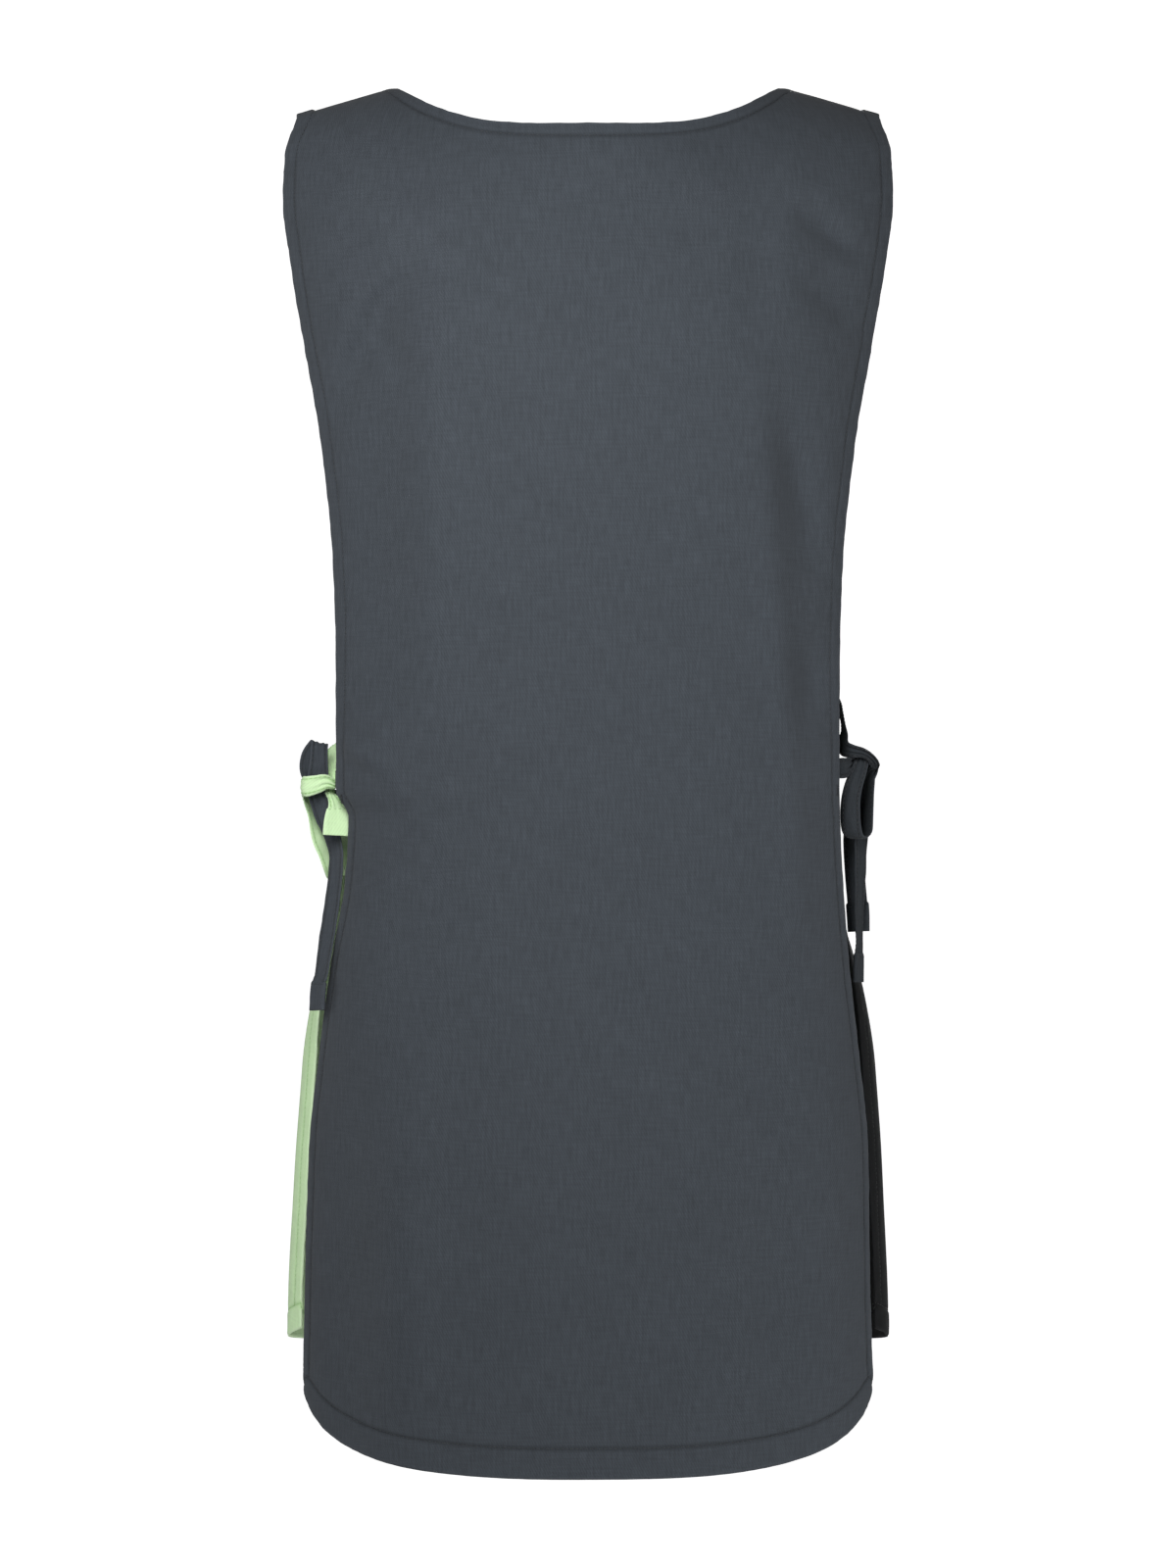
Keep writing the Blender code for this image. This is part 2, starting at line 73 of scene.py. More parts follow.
def feed(tree, node, inputs):
    # a node's inputs take values, or the sockets that feed them
    for key, value in inputs.items():
        if isinstance(value, bpy.types.NodeSocket):
            tree.links.new(value, node.inputs[key])
        else:
            node.inputs[key].default_value = value


def addNode(tree, kind, settings=None, inputs=None):
    node = tree.nodes.new(kind)
    for key, value in (settings or {}).items():
        setattr(node, key, value)
    feed(tree, node, inputs or {})
    return node


def newMaterial(name):
    material = bpy.data.materials.new(name)
    material.use_nodes = True
    return material, material.node_tree, material.node_tree.nodes["Principled BSDF"]


def newObject(name, data):
    made = bpy.data.objects.new(name, data)
    bpy.context.scene.collection.objects.link(made)
    return made


def makeCamera():
    data = bpy.data.cameras.new("camera")
    distance = studio["framePlane"] - studio["cameraPlace"][1]
    data.sensor_width = studio["sensor"]
    data.lens = studio["sensor"] * distance / studio["frameHeight"]
    camera = newObject("camera", data)
    camera.location = studio["cameraPlace"]
    camera.rotation_euler = (radians(90), 0, 0)
    bpy.context.scene.camera = camera


# one row for each lamp: where it stands, where it points, its size in metres, its power in watts
Lamp = namedtuple("Lamp", "name place aim size power")

lamps = (
    Lamp("key_box", (-0.24, -0.95, 0.06), (0, 0, -0.40), (0.6, 0.6), 14.2),
    Lamp("right_box", (1.50, -0.80, -0.80), (0, 0, -0.40), (0.6, 0.6), 13.5),
    Lamp("left_box", (-1.30, -0.30, -0.35), (-0.17, 0, -0.44), (0.6, 0.6), 3.4),
    Lamp("front_box", (0.50, 1.60, 0.10), (0, 0, -0.40), (0.8, 0.8), 28.0),
)


def makeLamps():
    for lamp in lamps:
        data = bpy.data.lights.new(lamp.name, "AREA")
        data.shape = "RECTANGLE"
        data.size, data.size_y = lamp.size
        data.energy = lamp.power
        light = newObject(lamp.name, data)
        light.location = lamp.place
        light.rotation_euler = (Vector(lamp.aim) - Vector(lamp.place)).to_track_quat("-Z", "Y").to_euler()
        light.visible_camera = False
    sky = bpy.data.worlds.new("soft_sky")
    sky.use_nodes = True
    feed(sky.node_tree, sky.node_tree.nodes["Background"], {
        "Color": (1, 1, 1, 1), "Strength": seenOrLit(sky.node_tree, studio["sky"])})
    bpy.context.scene.world = sky


def seenOrLit(tree, lit):
    # one strength where the picture sees a white surround, and a lower one where it lights the cloth
    sight = addNode(tree, "ShaderNodeLightPath")
    strength = addNode(tree, "ShaderNodeMapRange", None, {
        "Value": sight.outputs["Is Camera Ray"], "To Min": lit, "To Max": studio["seenWhite"]})
    return strength.outputs["Result"]


def makeSweep():
    # floor, round cove and back wall in one sheet of paper
    radius, back, floor = studio["sweepRadius"], studio["sweepBack"], studio["floor"]
    steps = studio["sweepSteps"]
    profile = [(studio["sweepFront"], floor)]
    for i in range(steps + 1):
        turn = pi / 2 * i / steps
        profile.append((back - radius + radius * sin(turn), floor + radius * (1 - cos(turn))))
    profile.append((back, floor + studio["sweepRise"]))
    points = [(side * studio["sweepHalfWidth"], y, z) for y, z in profile for side in (-1, 1)]
    faces = [(2 * i, 2 * i + 1, 2 * i + 3, 2 * i + 2) for i in range(len(profile) - 1)]
    mesh = bpy.data.meshes.new("paper_sweep")
    mesh.from_pydata(points, [], faces)
    mesh.shade_smooth()
    sweep = newObject("paper_sweep", mesh)
    # matt white background paper: it keeps no shine and glows a little, as if it had lamps of its own
    paper, tree, shader = newMaterial("background_paper")
    feed(tree, shader, {
        "Base Color": hexColour(studio["paper"]), "Roughness": 1.0, "Emission Color": (1, 1, 1, 1),
        "Emission Strength": seenOrLit(tree, studio["paperGlow"])})
    mesh.materials.append(paper)


makeCamera()
makeLamps()
makeSweep()
bpy.context.scene.view_settings.view_transform = "Standard"
print("studio ready")


# Finishes

# one row for each cloth: its colour, the painted shade between its ribs and along its stitching, the paler
# colour of its folded edges, its fuzz and shine, and how far its yarns differ in tone
clothFinish = {
    "slate": {
        "face": "#353A40", "valleyShade": "#212529", "fold": "#40454C",
        "sheen": 0.045, "shine": 0.3, "slubs": 0.15},
    # painted shade: a darker copy of the slate for the right ties, which lie in shade
    "shadedSlate": {
        "face": "#292D31", "valleyShade": "#1A1C1F", "fold": "#34383D",
        "sheen": 0.03, "shine": 0.2, "slubs": 0.15},
    "charcoal": {
        "face": "#151617", "valleyShade": "#0D0E0F", "fold": "#1E1F21",
        "sheen": 0.02, "shine": 0.14, "slubs": 0.15},
    "apple": {
        "face": "#C0DCAE", "valleyShade": "#9CC386", "fold": "#D2E8C4",
        "sheen": 0.08, "shine": 0.3, "slubs": 0.05},
    "ribPitch": 1.5,         # true twill has a rib each 0.6 mm, drawn wider so that it shows
    "ribLean": 63.0,         # a steep twill, in degrees from the weft
    "ribHeight": 0.06,
    "ribShade": 0.22,        # how much painted shade, the darker colour, shows between the ribs
    "yarn": 1.4,             # a yarn is 0.3 mm across, drawn wider for the same reason
    "slub": 15.0,            # length of a thick place in a yarn
    "mottle": 46.0,          # size of the faint cloudiness that piece-dyed cloth has
    "clouds": 0.035,         # and how far it changes the tone
    "foldShare": 0.6,        # how far the cloth's edges take the paler fold colour
    "seamShare": 0.8,        # how far painted shade, the darker colour, darkens a seam and its stitching
    "roughness": 0.88,
    "ior": 1.48,
    "sheenRoughness": 0.55,
}


def makeTwill(name, tone):
    # polyester-cotton twill, piece-dyed: steep fine ribs with painted shade between them, a dry matt face,
    # paler along its folded edges, and painted shade where a row of stitching draws it down
    settings = clothFinish
    material, tree, shader = newMaterial(name)
    cloth = addNode(tree, "ShaderNodeUVMap", {"uv_map": "cloth"}).outputs["UV"]

    leaned = addNode(tree, "ShaderNodeMapping", None, {
        "Vector": cloth, "Rotation": (0, 0, radians(settings["ribLean"] - 90))})
    ribs = addNode(tree, "ShaderNodeTexWave", {"wave_type": "BANDS", "bands_direction": "X"}, {
        "Vector": leaned.outputs["Vector"], "Scale": pi / 10 / settings["ribPitch"],
        "Distortion": 0.9, "Detail": 1.0, "Detail Scale": 1.4})
    # painted shade: between the ribs the colour runs down to the darker one
    ribShade = addNode(tree, "ShaderNodeMapRange", None, {
        "Value": ribs.outputs["Fac"], "From Min": 0.0, "From Max": 0.7,
        "To Min": settings["ribShade"], "To Max": 0.0})
    dyed = addNode(tree, "ShaderNodeMix", {"data_type": "RGBA"}, {
        0: ribShade.outputs["Result"], 6: hexColour(tone["face"]), 7: hexColour(tone["valleyShade"])})
    colour = dyed.outputs[2]

    # thick places along the warp and along the weft, and the cloudiness of the dye
    yarn, slub, cloud = 1 / settings["yarn"], 1 / settings["slub"], 1 / settings["mottle"]
    noises = []
    for scale, detail, roughness, depth in (
            ((yarn, slub, 1), 3.0, 0.6, tone["slubs"]),
            ((slub, yarn, 1), 2.0, 0.5, tone["slubs"] / 2),
            ((cloud, cloud, 1), 4.0, 0.55, settings["clouds"])):
        scaled = addNode(tree, "ShaderNodeMapping", None, {"Vector": cloth, "Scale": scale})
        noises.append(addNode(tree, "ShaderNodeTexNoise", None, {
            "Vector": scaled.outputs["Vector"], "Scale": 1.0, "Detail": detail, "Roughness": roughness}))
        shade = addNode(tree, "ShaderNodeMapRange", None, {
            "Value": noises[-1].outputs["Fac"], "From Min": 0.3, "From Max": 0.7,
            "To Min": 1 - depth, "To Max": 1 + depth})
        toned = addNode(tree, "ShaderNodeVectorMath", {"operation": "SCALE"}, {
            0: colour, "Scale": shade.outputs["Result"]})
        colour = toned.outputs["Vector"]

    # painted shade along the seams and stitching, and a paler colour along the folded edges
    for mark, share, other in (("paleEdge", settings["foldShare"], "fold"),
                               ("paintedSeamShade", settings["seamShare"], "valleyShade")):
        marked = addNode(tree, "ShaderNodeAttribute", {"attribute_name": mark})
        amount = addNode(tree, "ShaderNodeMath", {"operation": "MULTIPLY"}, {
            0: marked.outputs["Fac"], 1: share})
        mixed = addNode(tree, "ShaderNodeMix", {"data_type": "RGBA"}, {
            0: amount.outputs["Value"], 6: colour, 7: hexColour(tone[other])})
        colour = mixed.outputs[2]

    height = addNode(tree, "ShaderNodeMath", {"operation": "MULTIPLY_ADD"}, {
        0: noises[0].outputs["Fac"], 1: 0.6, 2: ribs.outputs["Fac"]})
    bump = addNode(tree, "ShaderNodeBump", None, {
        "Height": height.outputs["Value"], "Distance": settings["ribHeight"] * mm, "Strength": 0.8})
    feed(tree, shader, {
        "Base Color": colour, "Normal": bump.outputs["Normal"], "Roughness": settings["roughness"],
        "IOR": settings["ior"], "Specular IOR Level": tone["shine"],
        "Sheen Weight": tone["sheen"], "Sheen Roughness": settings["sheenRoughness"]})
    return material


# one row for each thread: its colour, and the colour down in its twist
threadFinish = {
    "slate": {"face": "#292D32", "shade": "#16181B"},
    # painted shade: the slate thread darkened for the right ties
    "shadedSlate": {"face": "#212428", "shade": "#121416"},
    "charcoal": {"face": "#121314", "shade": "#0A0B0B"},
    "apple": {"face": "#A2C68C", "shade": "#7CA264"},
    "plyPitch": 0.5,         # one turn of the two plies
    "plyHeight": 0.05,
    "roughness": 0.6,
}


def makeThread(name, tone):
    # spun polyester sewing thread: two twisted plies, a soft shine, dark in the twist
    material, tree, shader = newMaterial(name)
    place = addNode(tree, "ShaderNodeTexCoord").outputs["Object"]
    ply = addNode(tree, "ShaderNodeTexWave", {"wave_type": "BANDS", "bands_direction": "DIAGONAL"}, {
        "Vector": place, "Scale": pi / 10 / (threadFinish["plyPitch"] * mm), "Distortion": 1.0})
    colour = addNode(tree, "ShaderNodeMix", {"data_type": "RGBA"}, {
        0: ply.outputs["Fac"], 6: hexColour(tone["shade"]), 7: hexColour(tone["face"])})
    bump = addNode(tree, "ShaderNodeBump", None, {
        "Height": ply.outputs["Fac"], "Distance": threadFinish["plyHeight"] * mm, "Strength": 0.5})
    feed(tree, shader, {
        "Base Color": colour.outputs[2], "Normal": bump.outputs["Normal"],
        "Roughness": threadFinish["roughness"]})
    return material


tones = ("slate", "shadedSlate", "charcoal", "apple")
twill = {tone: makeTwill(tone + "_twill", clothFinish[tone]) for tone in tones}
thread = {tone: makeThread(tone + "_thread", threadFinish[tone]) for tone in tones}
print("finishes ready")


# The cloth's shape, as the part has it

# one row for each level of the side edge: where the two edges stand, the middle and edge depths, and
# how far the section turns round, in degrees
Section = namedtuple("Section", "level left right middleY edgeY wrap")
# one row for each fold: a line down the cloth, its width and how far it stands out
Fold = namedtuple("Fold", "x0 z0 x1 z1 width height")

backSections = (
    Section(-15.6, 180.5, 180.5, -74, -8, 62),
    Section(-40, 186.8, 186.8, -78, -15, 62),
    Section(-70, 188.0, 188.0, -85, -22, 62),
    Section(-110, 183.1, 183.1, -94, -28, 64),
    Section(-160, 174.7, 174.7, -100, -33, 66),
    Section(-220, 164.1, 164.1, -100, -37, 68),
    Section(-290, 156.7, 156.7, -95, -38, 70),
    Section(-360, 154.6, 154.6, -89.5, -36, 71),
    Section(-434, 154.6, 154.3, -89.0, -35, 72),
    Section(-450, 147.4, 154.8, -89.8, -34, 72),
    Section(-490, 149.6, 156.8, -94.0, -32, 72),
    Section(-540, 157.8, 160.2, -105, -31, 72),
    Section(-590, 164.7, 165.6, -110, -30, 72),
    Section(-650, 171.0, 172.0, -113, -28, 71),
    Section(-720, 173.8, 173.2, -113, -26, 70),
    Section(-797, 175.4, 175.2, -112, -25, 70),
)

frontSections = (
    Section(-15.6, 180.5, 180.5, 66, 18, 62),
    Section(-40, 176.0, 176.0, 72, 22, 62),
    Section(-70, 171.5, 171.5, 79, 26, 64),
    Section(-110, 166.0, 166.0, 88, 29, 66),
    Section(-160, 159.5, 159.5, 99, 31, 70),
    Section(-220, 153.0, 153.0, 110, 33, 74),
    Section(-290, 148.0, 148.0, 113, 34, 78),
    Section(-360, 145.0, 145.0, 102, 33, 82),
    Section(-420, 147.0, 147.0, 95, 30, 86),
    Section(-500, 156.0, 156.0, 98, 20, 94),
    Section(-560, 166.3, 166.8, 103, 12, 106),
    Section(-608, 169.7, 170.8, 106, 10, 110),
    Section(-680, 175.0, 175.4, 109, 10, 110),
    Section(-754, 178.2, 178.4, 111, 10, 110),
)

backFolds = (
    Fold(-104, -116, -146, -192, 13, -4.5),     # drag from the left shoulder to the armhole
    Fold(-96, -95, -101, -370, 18, 3.5),        # long ridge below the left shoulder
    Fold(-126, -178, -131, -360, 18, -4.5),     # hollow beside it
    Fold(120, -76, 160, -106, 11, -4.0),        # drags at the right armhole
    Fold(138, -110, 168, -146, 11, -4.0),
    Fold(103, -182, 129, -505, 11, 5.0),        # sharp ridge from the right shoulder to the hip
    Fold(126, -206, 132, -310, 13, -5.0),       # hollow outside it
    Fold(137, -345, 138, -390, 13, -4.0),
    Fold(-152, -402, -118, -426, 9, 3.5),       # pull of the left tie
    Fold(-108, -590, -116, -850, 24, 4.5),      # drape at the left hip
    Fold(-147, -620, -146, -850, 20, -4.5),
    Fold(104, -560, 112, -850, 24, -3.5),       # drape at the right hip
    Fold(150, -620, 150, -850, 18, 3.5),
    Fold(10, -480, -26, -850, 34, 2.5),
)

frontFolds = (
    Fold(-146, -388, -84, -330, 15, 4.0),       # pull of the left tie
    Fold(146, -366, 84, -318, 15, 4.0),         # pull of the right tie
    Fold(-62, -330, -84, -800, 30, 5.0),        # drape below the chest
    Fold(62, -330, 84, -800, 30, 5.0),
    Fold(-118, -420, -132, -800, 22, -4.5),
    Fold(118, -420, 132, -800, 22, -4.5),
    Fold(0, -400, 0, -800, 24, -3.0),
)

# small creases that the part leaves out, and sharper cores for its soft folds
backCreases = (
    Fold(-118, -172, -104, -186, 7, -1.8),      # end of the drag below the left shoulder
    Fold(20, -452, 56, -464, 6, 1.3),           # faint creases across the waist
    Fold(14, -466, 44, -474, 6, -1.0),
    Fold(-8, -582, 38, -590, 9, 1.6),           # light patch below the waist
    Fold(-60, -557, -34, -566, 6, 1.2),
    Fold(42, -664, -20, -712, 8, 1.3),          # slanting creases below the hips
    Fold(-2, -690, -54, -726, 7, -1.1),
    Fold(30, -196, 18, -300, 16, -1.2),
    Fold(-150, -404, -132, -417, 4, 1.2),       # gathers where the left tie pulls
    Fold(-149, -418, -128, -426, 4, -1.4),
    Fold(152, -412, 136, -398, 5, 1.2),         # gathers where the right tie pulls
    Fold(152, -426, 132, -436, 5, -1.2),
    Fold(-176, -30, -160, -46, 8, -1.6),        # hollow at the left shoulder's tip
    Fold(-168, -46, -150, -66, 10, -1.8),
    Fold(-130, -62, -106, -106, 15, 2.2),       # cores of the left shoulder's folds
    Fold(-107, -122, -132, -142, 9, -4.2),
    Fold(-130, -140, -151, -196, 9, -4.6),
    Fold(-127, -148, -114, -176, 8, -3.6),
    Fold(-90, -140, -93, -385, 11, 2.2),
    Fold(-114, -600, -120, -850, 20, 3.0),      # left hip
    Fold(80, -60, 92, -300, 12, 1.4),           # cores of the right shoulder's folds
    Fold(104, -66, 100, -160, 13, -2.4),
    Fold(136, -84, 163, -107, 8, -3.4),
    Fold(128, -120, 159, -151, 8, -3.6),
    Fold(118, -212, 141, -300, 10, -3.6),
    Fold(133, -345, 134, -388, 9, -3.0),
)

frontCreases = (
    Fold(-148, -400, -112, -402, 5, 1.4),       # gathers where the ties pull
    Fold(148, -378, 112, -384, 5, 1.4),
    Fold(-142, -372, -110, -352, 6, -1.2),
    Fold(142, -352, 110, -336, 6, -1.2),
    Fold(-120, -70, -92, -150, 12, -2.0),       # soft drags from the shoulders to the chest
    Fold(120, -70, 92, -150, 12, -2.0),
)

shape = {
    "seamHalf": (120.5, 180.5),      # the shoulder seam's inner and outer ends
    "seamTop": 1.2,
    "seamSlope": 0.3,
    "cornerRound": 4.0,
    "seamForward": 8.0,
    "seamSkew": 0.05,
    "shoulderRound": 90.0,
    "roundShare": 1.1,
    "roundLeast": 16.0,
    "neckFade": 280.0,
    "hemFade": 170.0,
    "flatten": 0.85,
    "topWrap": 62.0,
    "foldEnd": 0.06,
}

backPanel = {
    "sections": backSections, "folds": backFolds + backCreases, "outward": -1,
    "neckDrop": 28.5, "neckPower": 3.73, "hemDrop": 847.0, "hemRise": 46.6, "hemPower": 2.5,
    "hemRound": 1.5, "hemBand": 18.6, "hemTaper": 50.0, "seed": 3.0,
}
frontPanel = {
    "sections": frontSections, "folds": frontFolds + frontCreases, "outward": 1,
    "neckDrop": 110.0, "neckPower": 2.2, "hemDrop": 782.0, "hemRise": 14.0, "hemPower": 3.8,
    "hemRound": 1.0, "hemBand": 16.0, "hemTaper": 900.0, "seed": 11.0,
}


def easedColumn(table, column, level):
    # one column of a table at each level, eased between its rows with no overshoot
    fall = np.array([-row.level for row in table], float)
    values = np.array([getattr(row, column) for row in table], float)
    slopes = np.diff(values) / np.diff(fall)
    eased = np.zeros_like(values)
    kept = slopes[:-1] * slopes[1:] > 0
    eased[1:-1][kept] = 2 * slopes[:-1][kept] * slopes[1:][kept] / (slopes[:-1] + slopes[1:])[kept]
    at = np.clip(np.searchsorted(fall, -level, side="right") - 1, 0, len(fall) - 2)
    span = fall[at + 1] - fall[at]
    t = np.clip((-level - fall[at]) / span, 0, 1)
    return ((2 * t**3 - 3 * t**2 + 1) * values[at] + (t**3 - 2 * t**2 + t) * eased[at] * span
            + (3 * t**2 - 2 * t**3) * values[at + 1] + (t**3 - t**2) * eased[at + 1] * span)


def pastCorner(x):
    # how far a place lies outside the neckline's corner, eased round it; below nought inside
    beyond = abs(x) - shape["seamHalf"][0]
    return np.sign(beyond) * (np.hypot(beyond, shape["cornerRound"]) - shape["cornerRound"])


def seamHeight(x):
    return shape["seamTop"] - shape["seamSlope"] * pastCorner(x)


def topEdge(panel, x):
    # height of the neckline, and past its ends of the shoulder seam
    turnedUp = (1 + np.minimum(pastCorner(x), 0) / shape["seamHalf"][0]) ** panel["neckPower"]
    neckline = shape["seamTop"] - (panel["neckDrop"] + shape["seamTop"]) * (1 - turnedUp)
    return np.where(pastCorner(x) >= 0, seamHeight(x), neckline)


def clothPoints(panel, share, level):
    # points of a panel's outer face: share runs from -1 at its left edge to 1 at its right
    row = {name: easedColumn(panel["sections"], name, level) for name in Section._fields[1:]}
    top, end = panel["sections"][0].level, panel["sections"][-1].level
    turn, whole = np.radians(row["wrap"]) * abs(share), np.radians(row["wrap"])
    sideways = (np.sin(turn) / np.sin(whole)) ** shape["flatten"]
    used = (1 - np.cos(turn)) / (1 - np.cos(whole))
    topTurn = radians(shape["topWrap"])
    topX = (np.sin(topTurn * abs(share)) / sin(topTurn)) ** shape["flatten"] * shape["seamHalf"][1]
    x = sideways * np.where(share > 0, row["right"], -row["left"])

    neck = (1 - np.clip((top - level) / shape["neckFade"], 0, 1) ** 2) ** 2
    hem = np.clip((end + shape["hemFade"] - level) / shape["hemFade"], 0, 1) ** 2
    left = np.maximum(0, 1 - abs(share) ** panel["hemPower"]) ** (1 / panel["hemRound"])
    lift = panel["hemRise"] * (1 - left)
    z = level + (topEdge(panel, topX) - top) * neck + (lift - panel["hemDrop"] - end) * hem

    y = row["middleY"] + (row["edgeY"] - row["middleY"]) * used
    for fold in panel["folds"]:
        runX, runZ = fold.x1 - fold.x0, fold.z1 - fold.z0
        along = np.clip(((x - fold.x0) * runX + (z - fold.z0) * runZ) / (runX**2 + runZ**2), 0, 1)
        off2 = (x - fold.x0 - runX * along) ** 2 + (z - fold.z0 - runZ * along) ** 2
        fading = np.sqrt(np.sin(pi * np.clip(along, shape["foldEnd"], 1 - shape["foldEnd"])))
        y = y + panel["outward"] * fold.height * np.exp(-off2 / fold.width**2) * fading

    seamY = shape["seamForward"] - shape["seamSkew"] * (abs(x) - shape["seamHalf"][0])
    reach = y - seamY
    room = np.clip(shape["roundShare"] * abs(reach), shape["roundLeast"], shape["shoulderRound"])
    drop = np.clip((seamHeight(x) - z) / room, 0, 1)
    y = seamY + reach * np.sqrt(1 - (1 - drop) ** 2)
    return np.stack([x, y, z], axis=-1)


# the panels' grid, in millimetres along the cloth
grain = {
    "edgeOffsets": (0, 0.35, 1.0, 2.0, 3.4, 5.2, 7.0, 8.8, 10.2, 11.2, 12.0, 12.8, 13.7, 14.7, 16.2, 18.2),
    "edgeReach": 0.55,           # the share that they are measured in from the edge to
    "edgeSamples": 180,
    "innerColumns": 62,          # between the two ends of the neckline
    "outerColumns": 22,          # from there to the hem band at each side
    "seamTurns": (0, 0.2, 0.5, 0.9, 1.4, 2.0, 2.7),      # first rows past the seam, in degrees of turn
    "shoulderRows": 40,
    "rowPitch": 3.3,
    "hemRows": 26,
    "hemDepth": 27.0,
    "seamColumns": (0, 0.4, 1.0, 1.8, 2.6, 3.4, 4.4, 5.6, 7.0, 8.6),
}

# hems, seams and small unevenness, in millimetres
sewing = {
    "wall": 0.9,                 # the twill and its hand, one layer
    "turnedWall": 1.65,          # at a hem, where it is turned under twice
    "stepBeyond": 1.6,           # where the inner face steps down, past the stitching
    "stepWidth": 1.2,
    "armholeInset": 11.5,        # side stitching from the edge, along the cloth
    "sideInset": 8.5,            # and the same below the waist
    "insetFrom": -300.0,         # levels between which one runs into the other
    "insetTo": -460.0,
    "neckInset": 8.4,
    "seamInset": 2.2,
    "lineStep": 0.8,             # between the points of a line of stitching
    "grooveDepth": 0.50,
    "grooveWidth": 1.2,
    "seamDip": 0.6,
    "seamWidth": 0.7,
    "puff": 0.30,                # between the stitching and the edge
    "pucker": 0.34,
    "puckerLength": 7.5,
    "drawnShare": 0.7,           # of the pucker, in from the stitching
    "drawnAt": 13.0,
    "drawnWidth": 6.0,
    "unevenness": 0.45,          # slow waves all over the cloth
    "unevenLength": 55.0,
    "edgeRound": 0.9,
    "rimShare": 0.45,            # of the wall that an edge's rounding takes from each face
    "paleEdgeWidth": 1.3,
    "tipLift": 1.3,              # the armhole hem's thick end at the shoulder seam
    "tipLength": 3.5,
    "tipFade": 2.0,              # where it ends, across the hem's stitching
    "halfAlong": 200.0,          # a panel's half width along the cloth, near enough
    "hemReach": 60.0,            # the hem's stitching lies within this of the lowest level
    "hemSamples": 121,
}


def unit(vectors):
    return vectors / np.linalg.norm(vectors, axis=-1, keepdims=True)


def runLengths(run):
    # how far each point of a run lies from its start
    return np.concatenate([[0], np.cumsum(np.linalg.norm(np.diff(run, axis=0), axis=1))])


def edgeShares(panel, level, side, offsets):
    # shares that lie at given distances in from a side edge, measured along the cloth
    shares = np.linspace(1.0, grain["edgeReach"], grain["edgeSamples"])
    run = clothPoints(panel, shares * side, np.full_like(shares, level))
    return side * np.interp(offsets, runLengths(run), shares)


def rowLevels(panel):
    top, end = panel["sections"][0].level, panel["sections"][-1].level
    first = np.radians(grain["seamTurns"])
    turns = np.concatenate([first, np.linspace(first[-1], pi / 2, grain["shoulderRows"])[1:]])
    shoulder = top - shape["shoulderRound"] * (1 - np.cos(turns))
    count = round((shoulder[-1] - end - grain["hemDepth"]) / grain["rowPitch"])
    even = np.linspace(shoulder[-1], end + grain["hemDepth"], count + 1)[1:]
    hem = np.linspace(end + grain["hemDepth"], end, grain["hemRows"] + 1)[1:]
    return np.concatenate([shoulder, even, hem])


def panelGrid(panel, half):
    # shares and levels of a panel's grid: half is -1 or 1 for one side of the front, 0 for the whole
    corner = (shape["seamHalf"][0] / shape["seamHalf"][1]) ** (1 / shape["flatten"])
    corner = asin(corner * sin(radians(shape["topWrap"]))) / radians(shape["topWrap"])
    levels = rowLevels(panel)
    rows = []
    for level in levels:
        sides = {}
        for side in (-1, 1):
            if half in (0, side):
                edge = edgeShares(panel, level, side, grain["edgeOffsets"])
                outer = np.linspace(corner * side, edge[-1], grain["outerColumns"] + 1)[:-1]
                sides[side] = np.concatenate([outer, edge[::-1]])
        if half == 0:
            inner = np.linspace(-corner, corner, grain["innerColumns"] + 1)[1:-1]
            rows.append(np.concatenate([sides[-1][::-1], inner, sides[1]]))
        else:
            width = easedColumn(panel["sections"], "left" if half < 0 else "right", np.array([level]))[0]
            seam = (np.array(grain["seamColumns"]) / width) ** (1 / shape["flatten"])
            inner = np.linspace(seam[-1] / 1.1, corner, grain["innerColumns"] // 2 + 1)[1:-1]
            run = np.concatenate([half * seam / 1.1, half * inner, sides[half]])
            rows.append(run if half > 0 else run[::-1])
    shares = np.array(rows)
    return shares, np.repeat(levels[:, None], shares.shape[1], axis=1)


def gridNormals(points, outward):
    across, down = np.gradient(points, axis=1), np.gradient(points, axis=0)
    normals = unit(np.cross(down, across))
    middle = normals[normals.shape[0] // 2, normals.shape[1] // 2]
    return normals if middle[1] * outward > 0 else -normals


def distanceTo(points, path):
    # how far each point lies from a path of closely spaced points
    tree = KDTree(len(path))
    for i, place in enumerate(path):
        tree.insert(place, i)
    tree.balance()
    flat = points.reshape(-1, 3)
    found = np.fromiter((tree.find(place)[2] for place in flat), float, len(flat))
    return found.reshape(points.shape[:-1])


def spaced(path, step):
    # the same path with its points at even steps
    lengths = runLengths(path)
    at = np.linspace(0, lengths[-1], max(2, round(lengths[-1] / step) + 1))
    return np.stack([np.interp(at, lengths, path[:, i]) for i in range(3)], axis=-1)


def smoothStep(value):
    value = np.clip(value, 0, 1)
    return value * value * (3 - 2 * value)


def wave(points, length, seed):
    # slow noise over the points, from -1 to 1
    flat = points.reshape(-1, 3) / length + seed
    made = np.fromiter((noise.noise(Vector(place)) for place in flat), float, len(flat))
    return made.reshape(points.shape[:-1])


def insetPath(points, normals, row, column, inset):
    # a path on the grid at a set distance in from one of its edges, or from part of one
    edge, up = points[row, column], normals[row, column]
    ahead = unit(np.gradient(edge, axis=0))
    inward = np.cross(up, ahead)
    centre = points.mean(axis=(0, 1))
    if ((centre - edge) * inward).sum() < 0:
        inward = -inward
    return edge + inward * inset


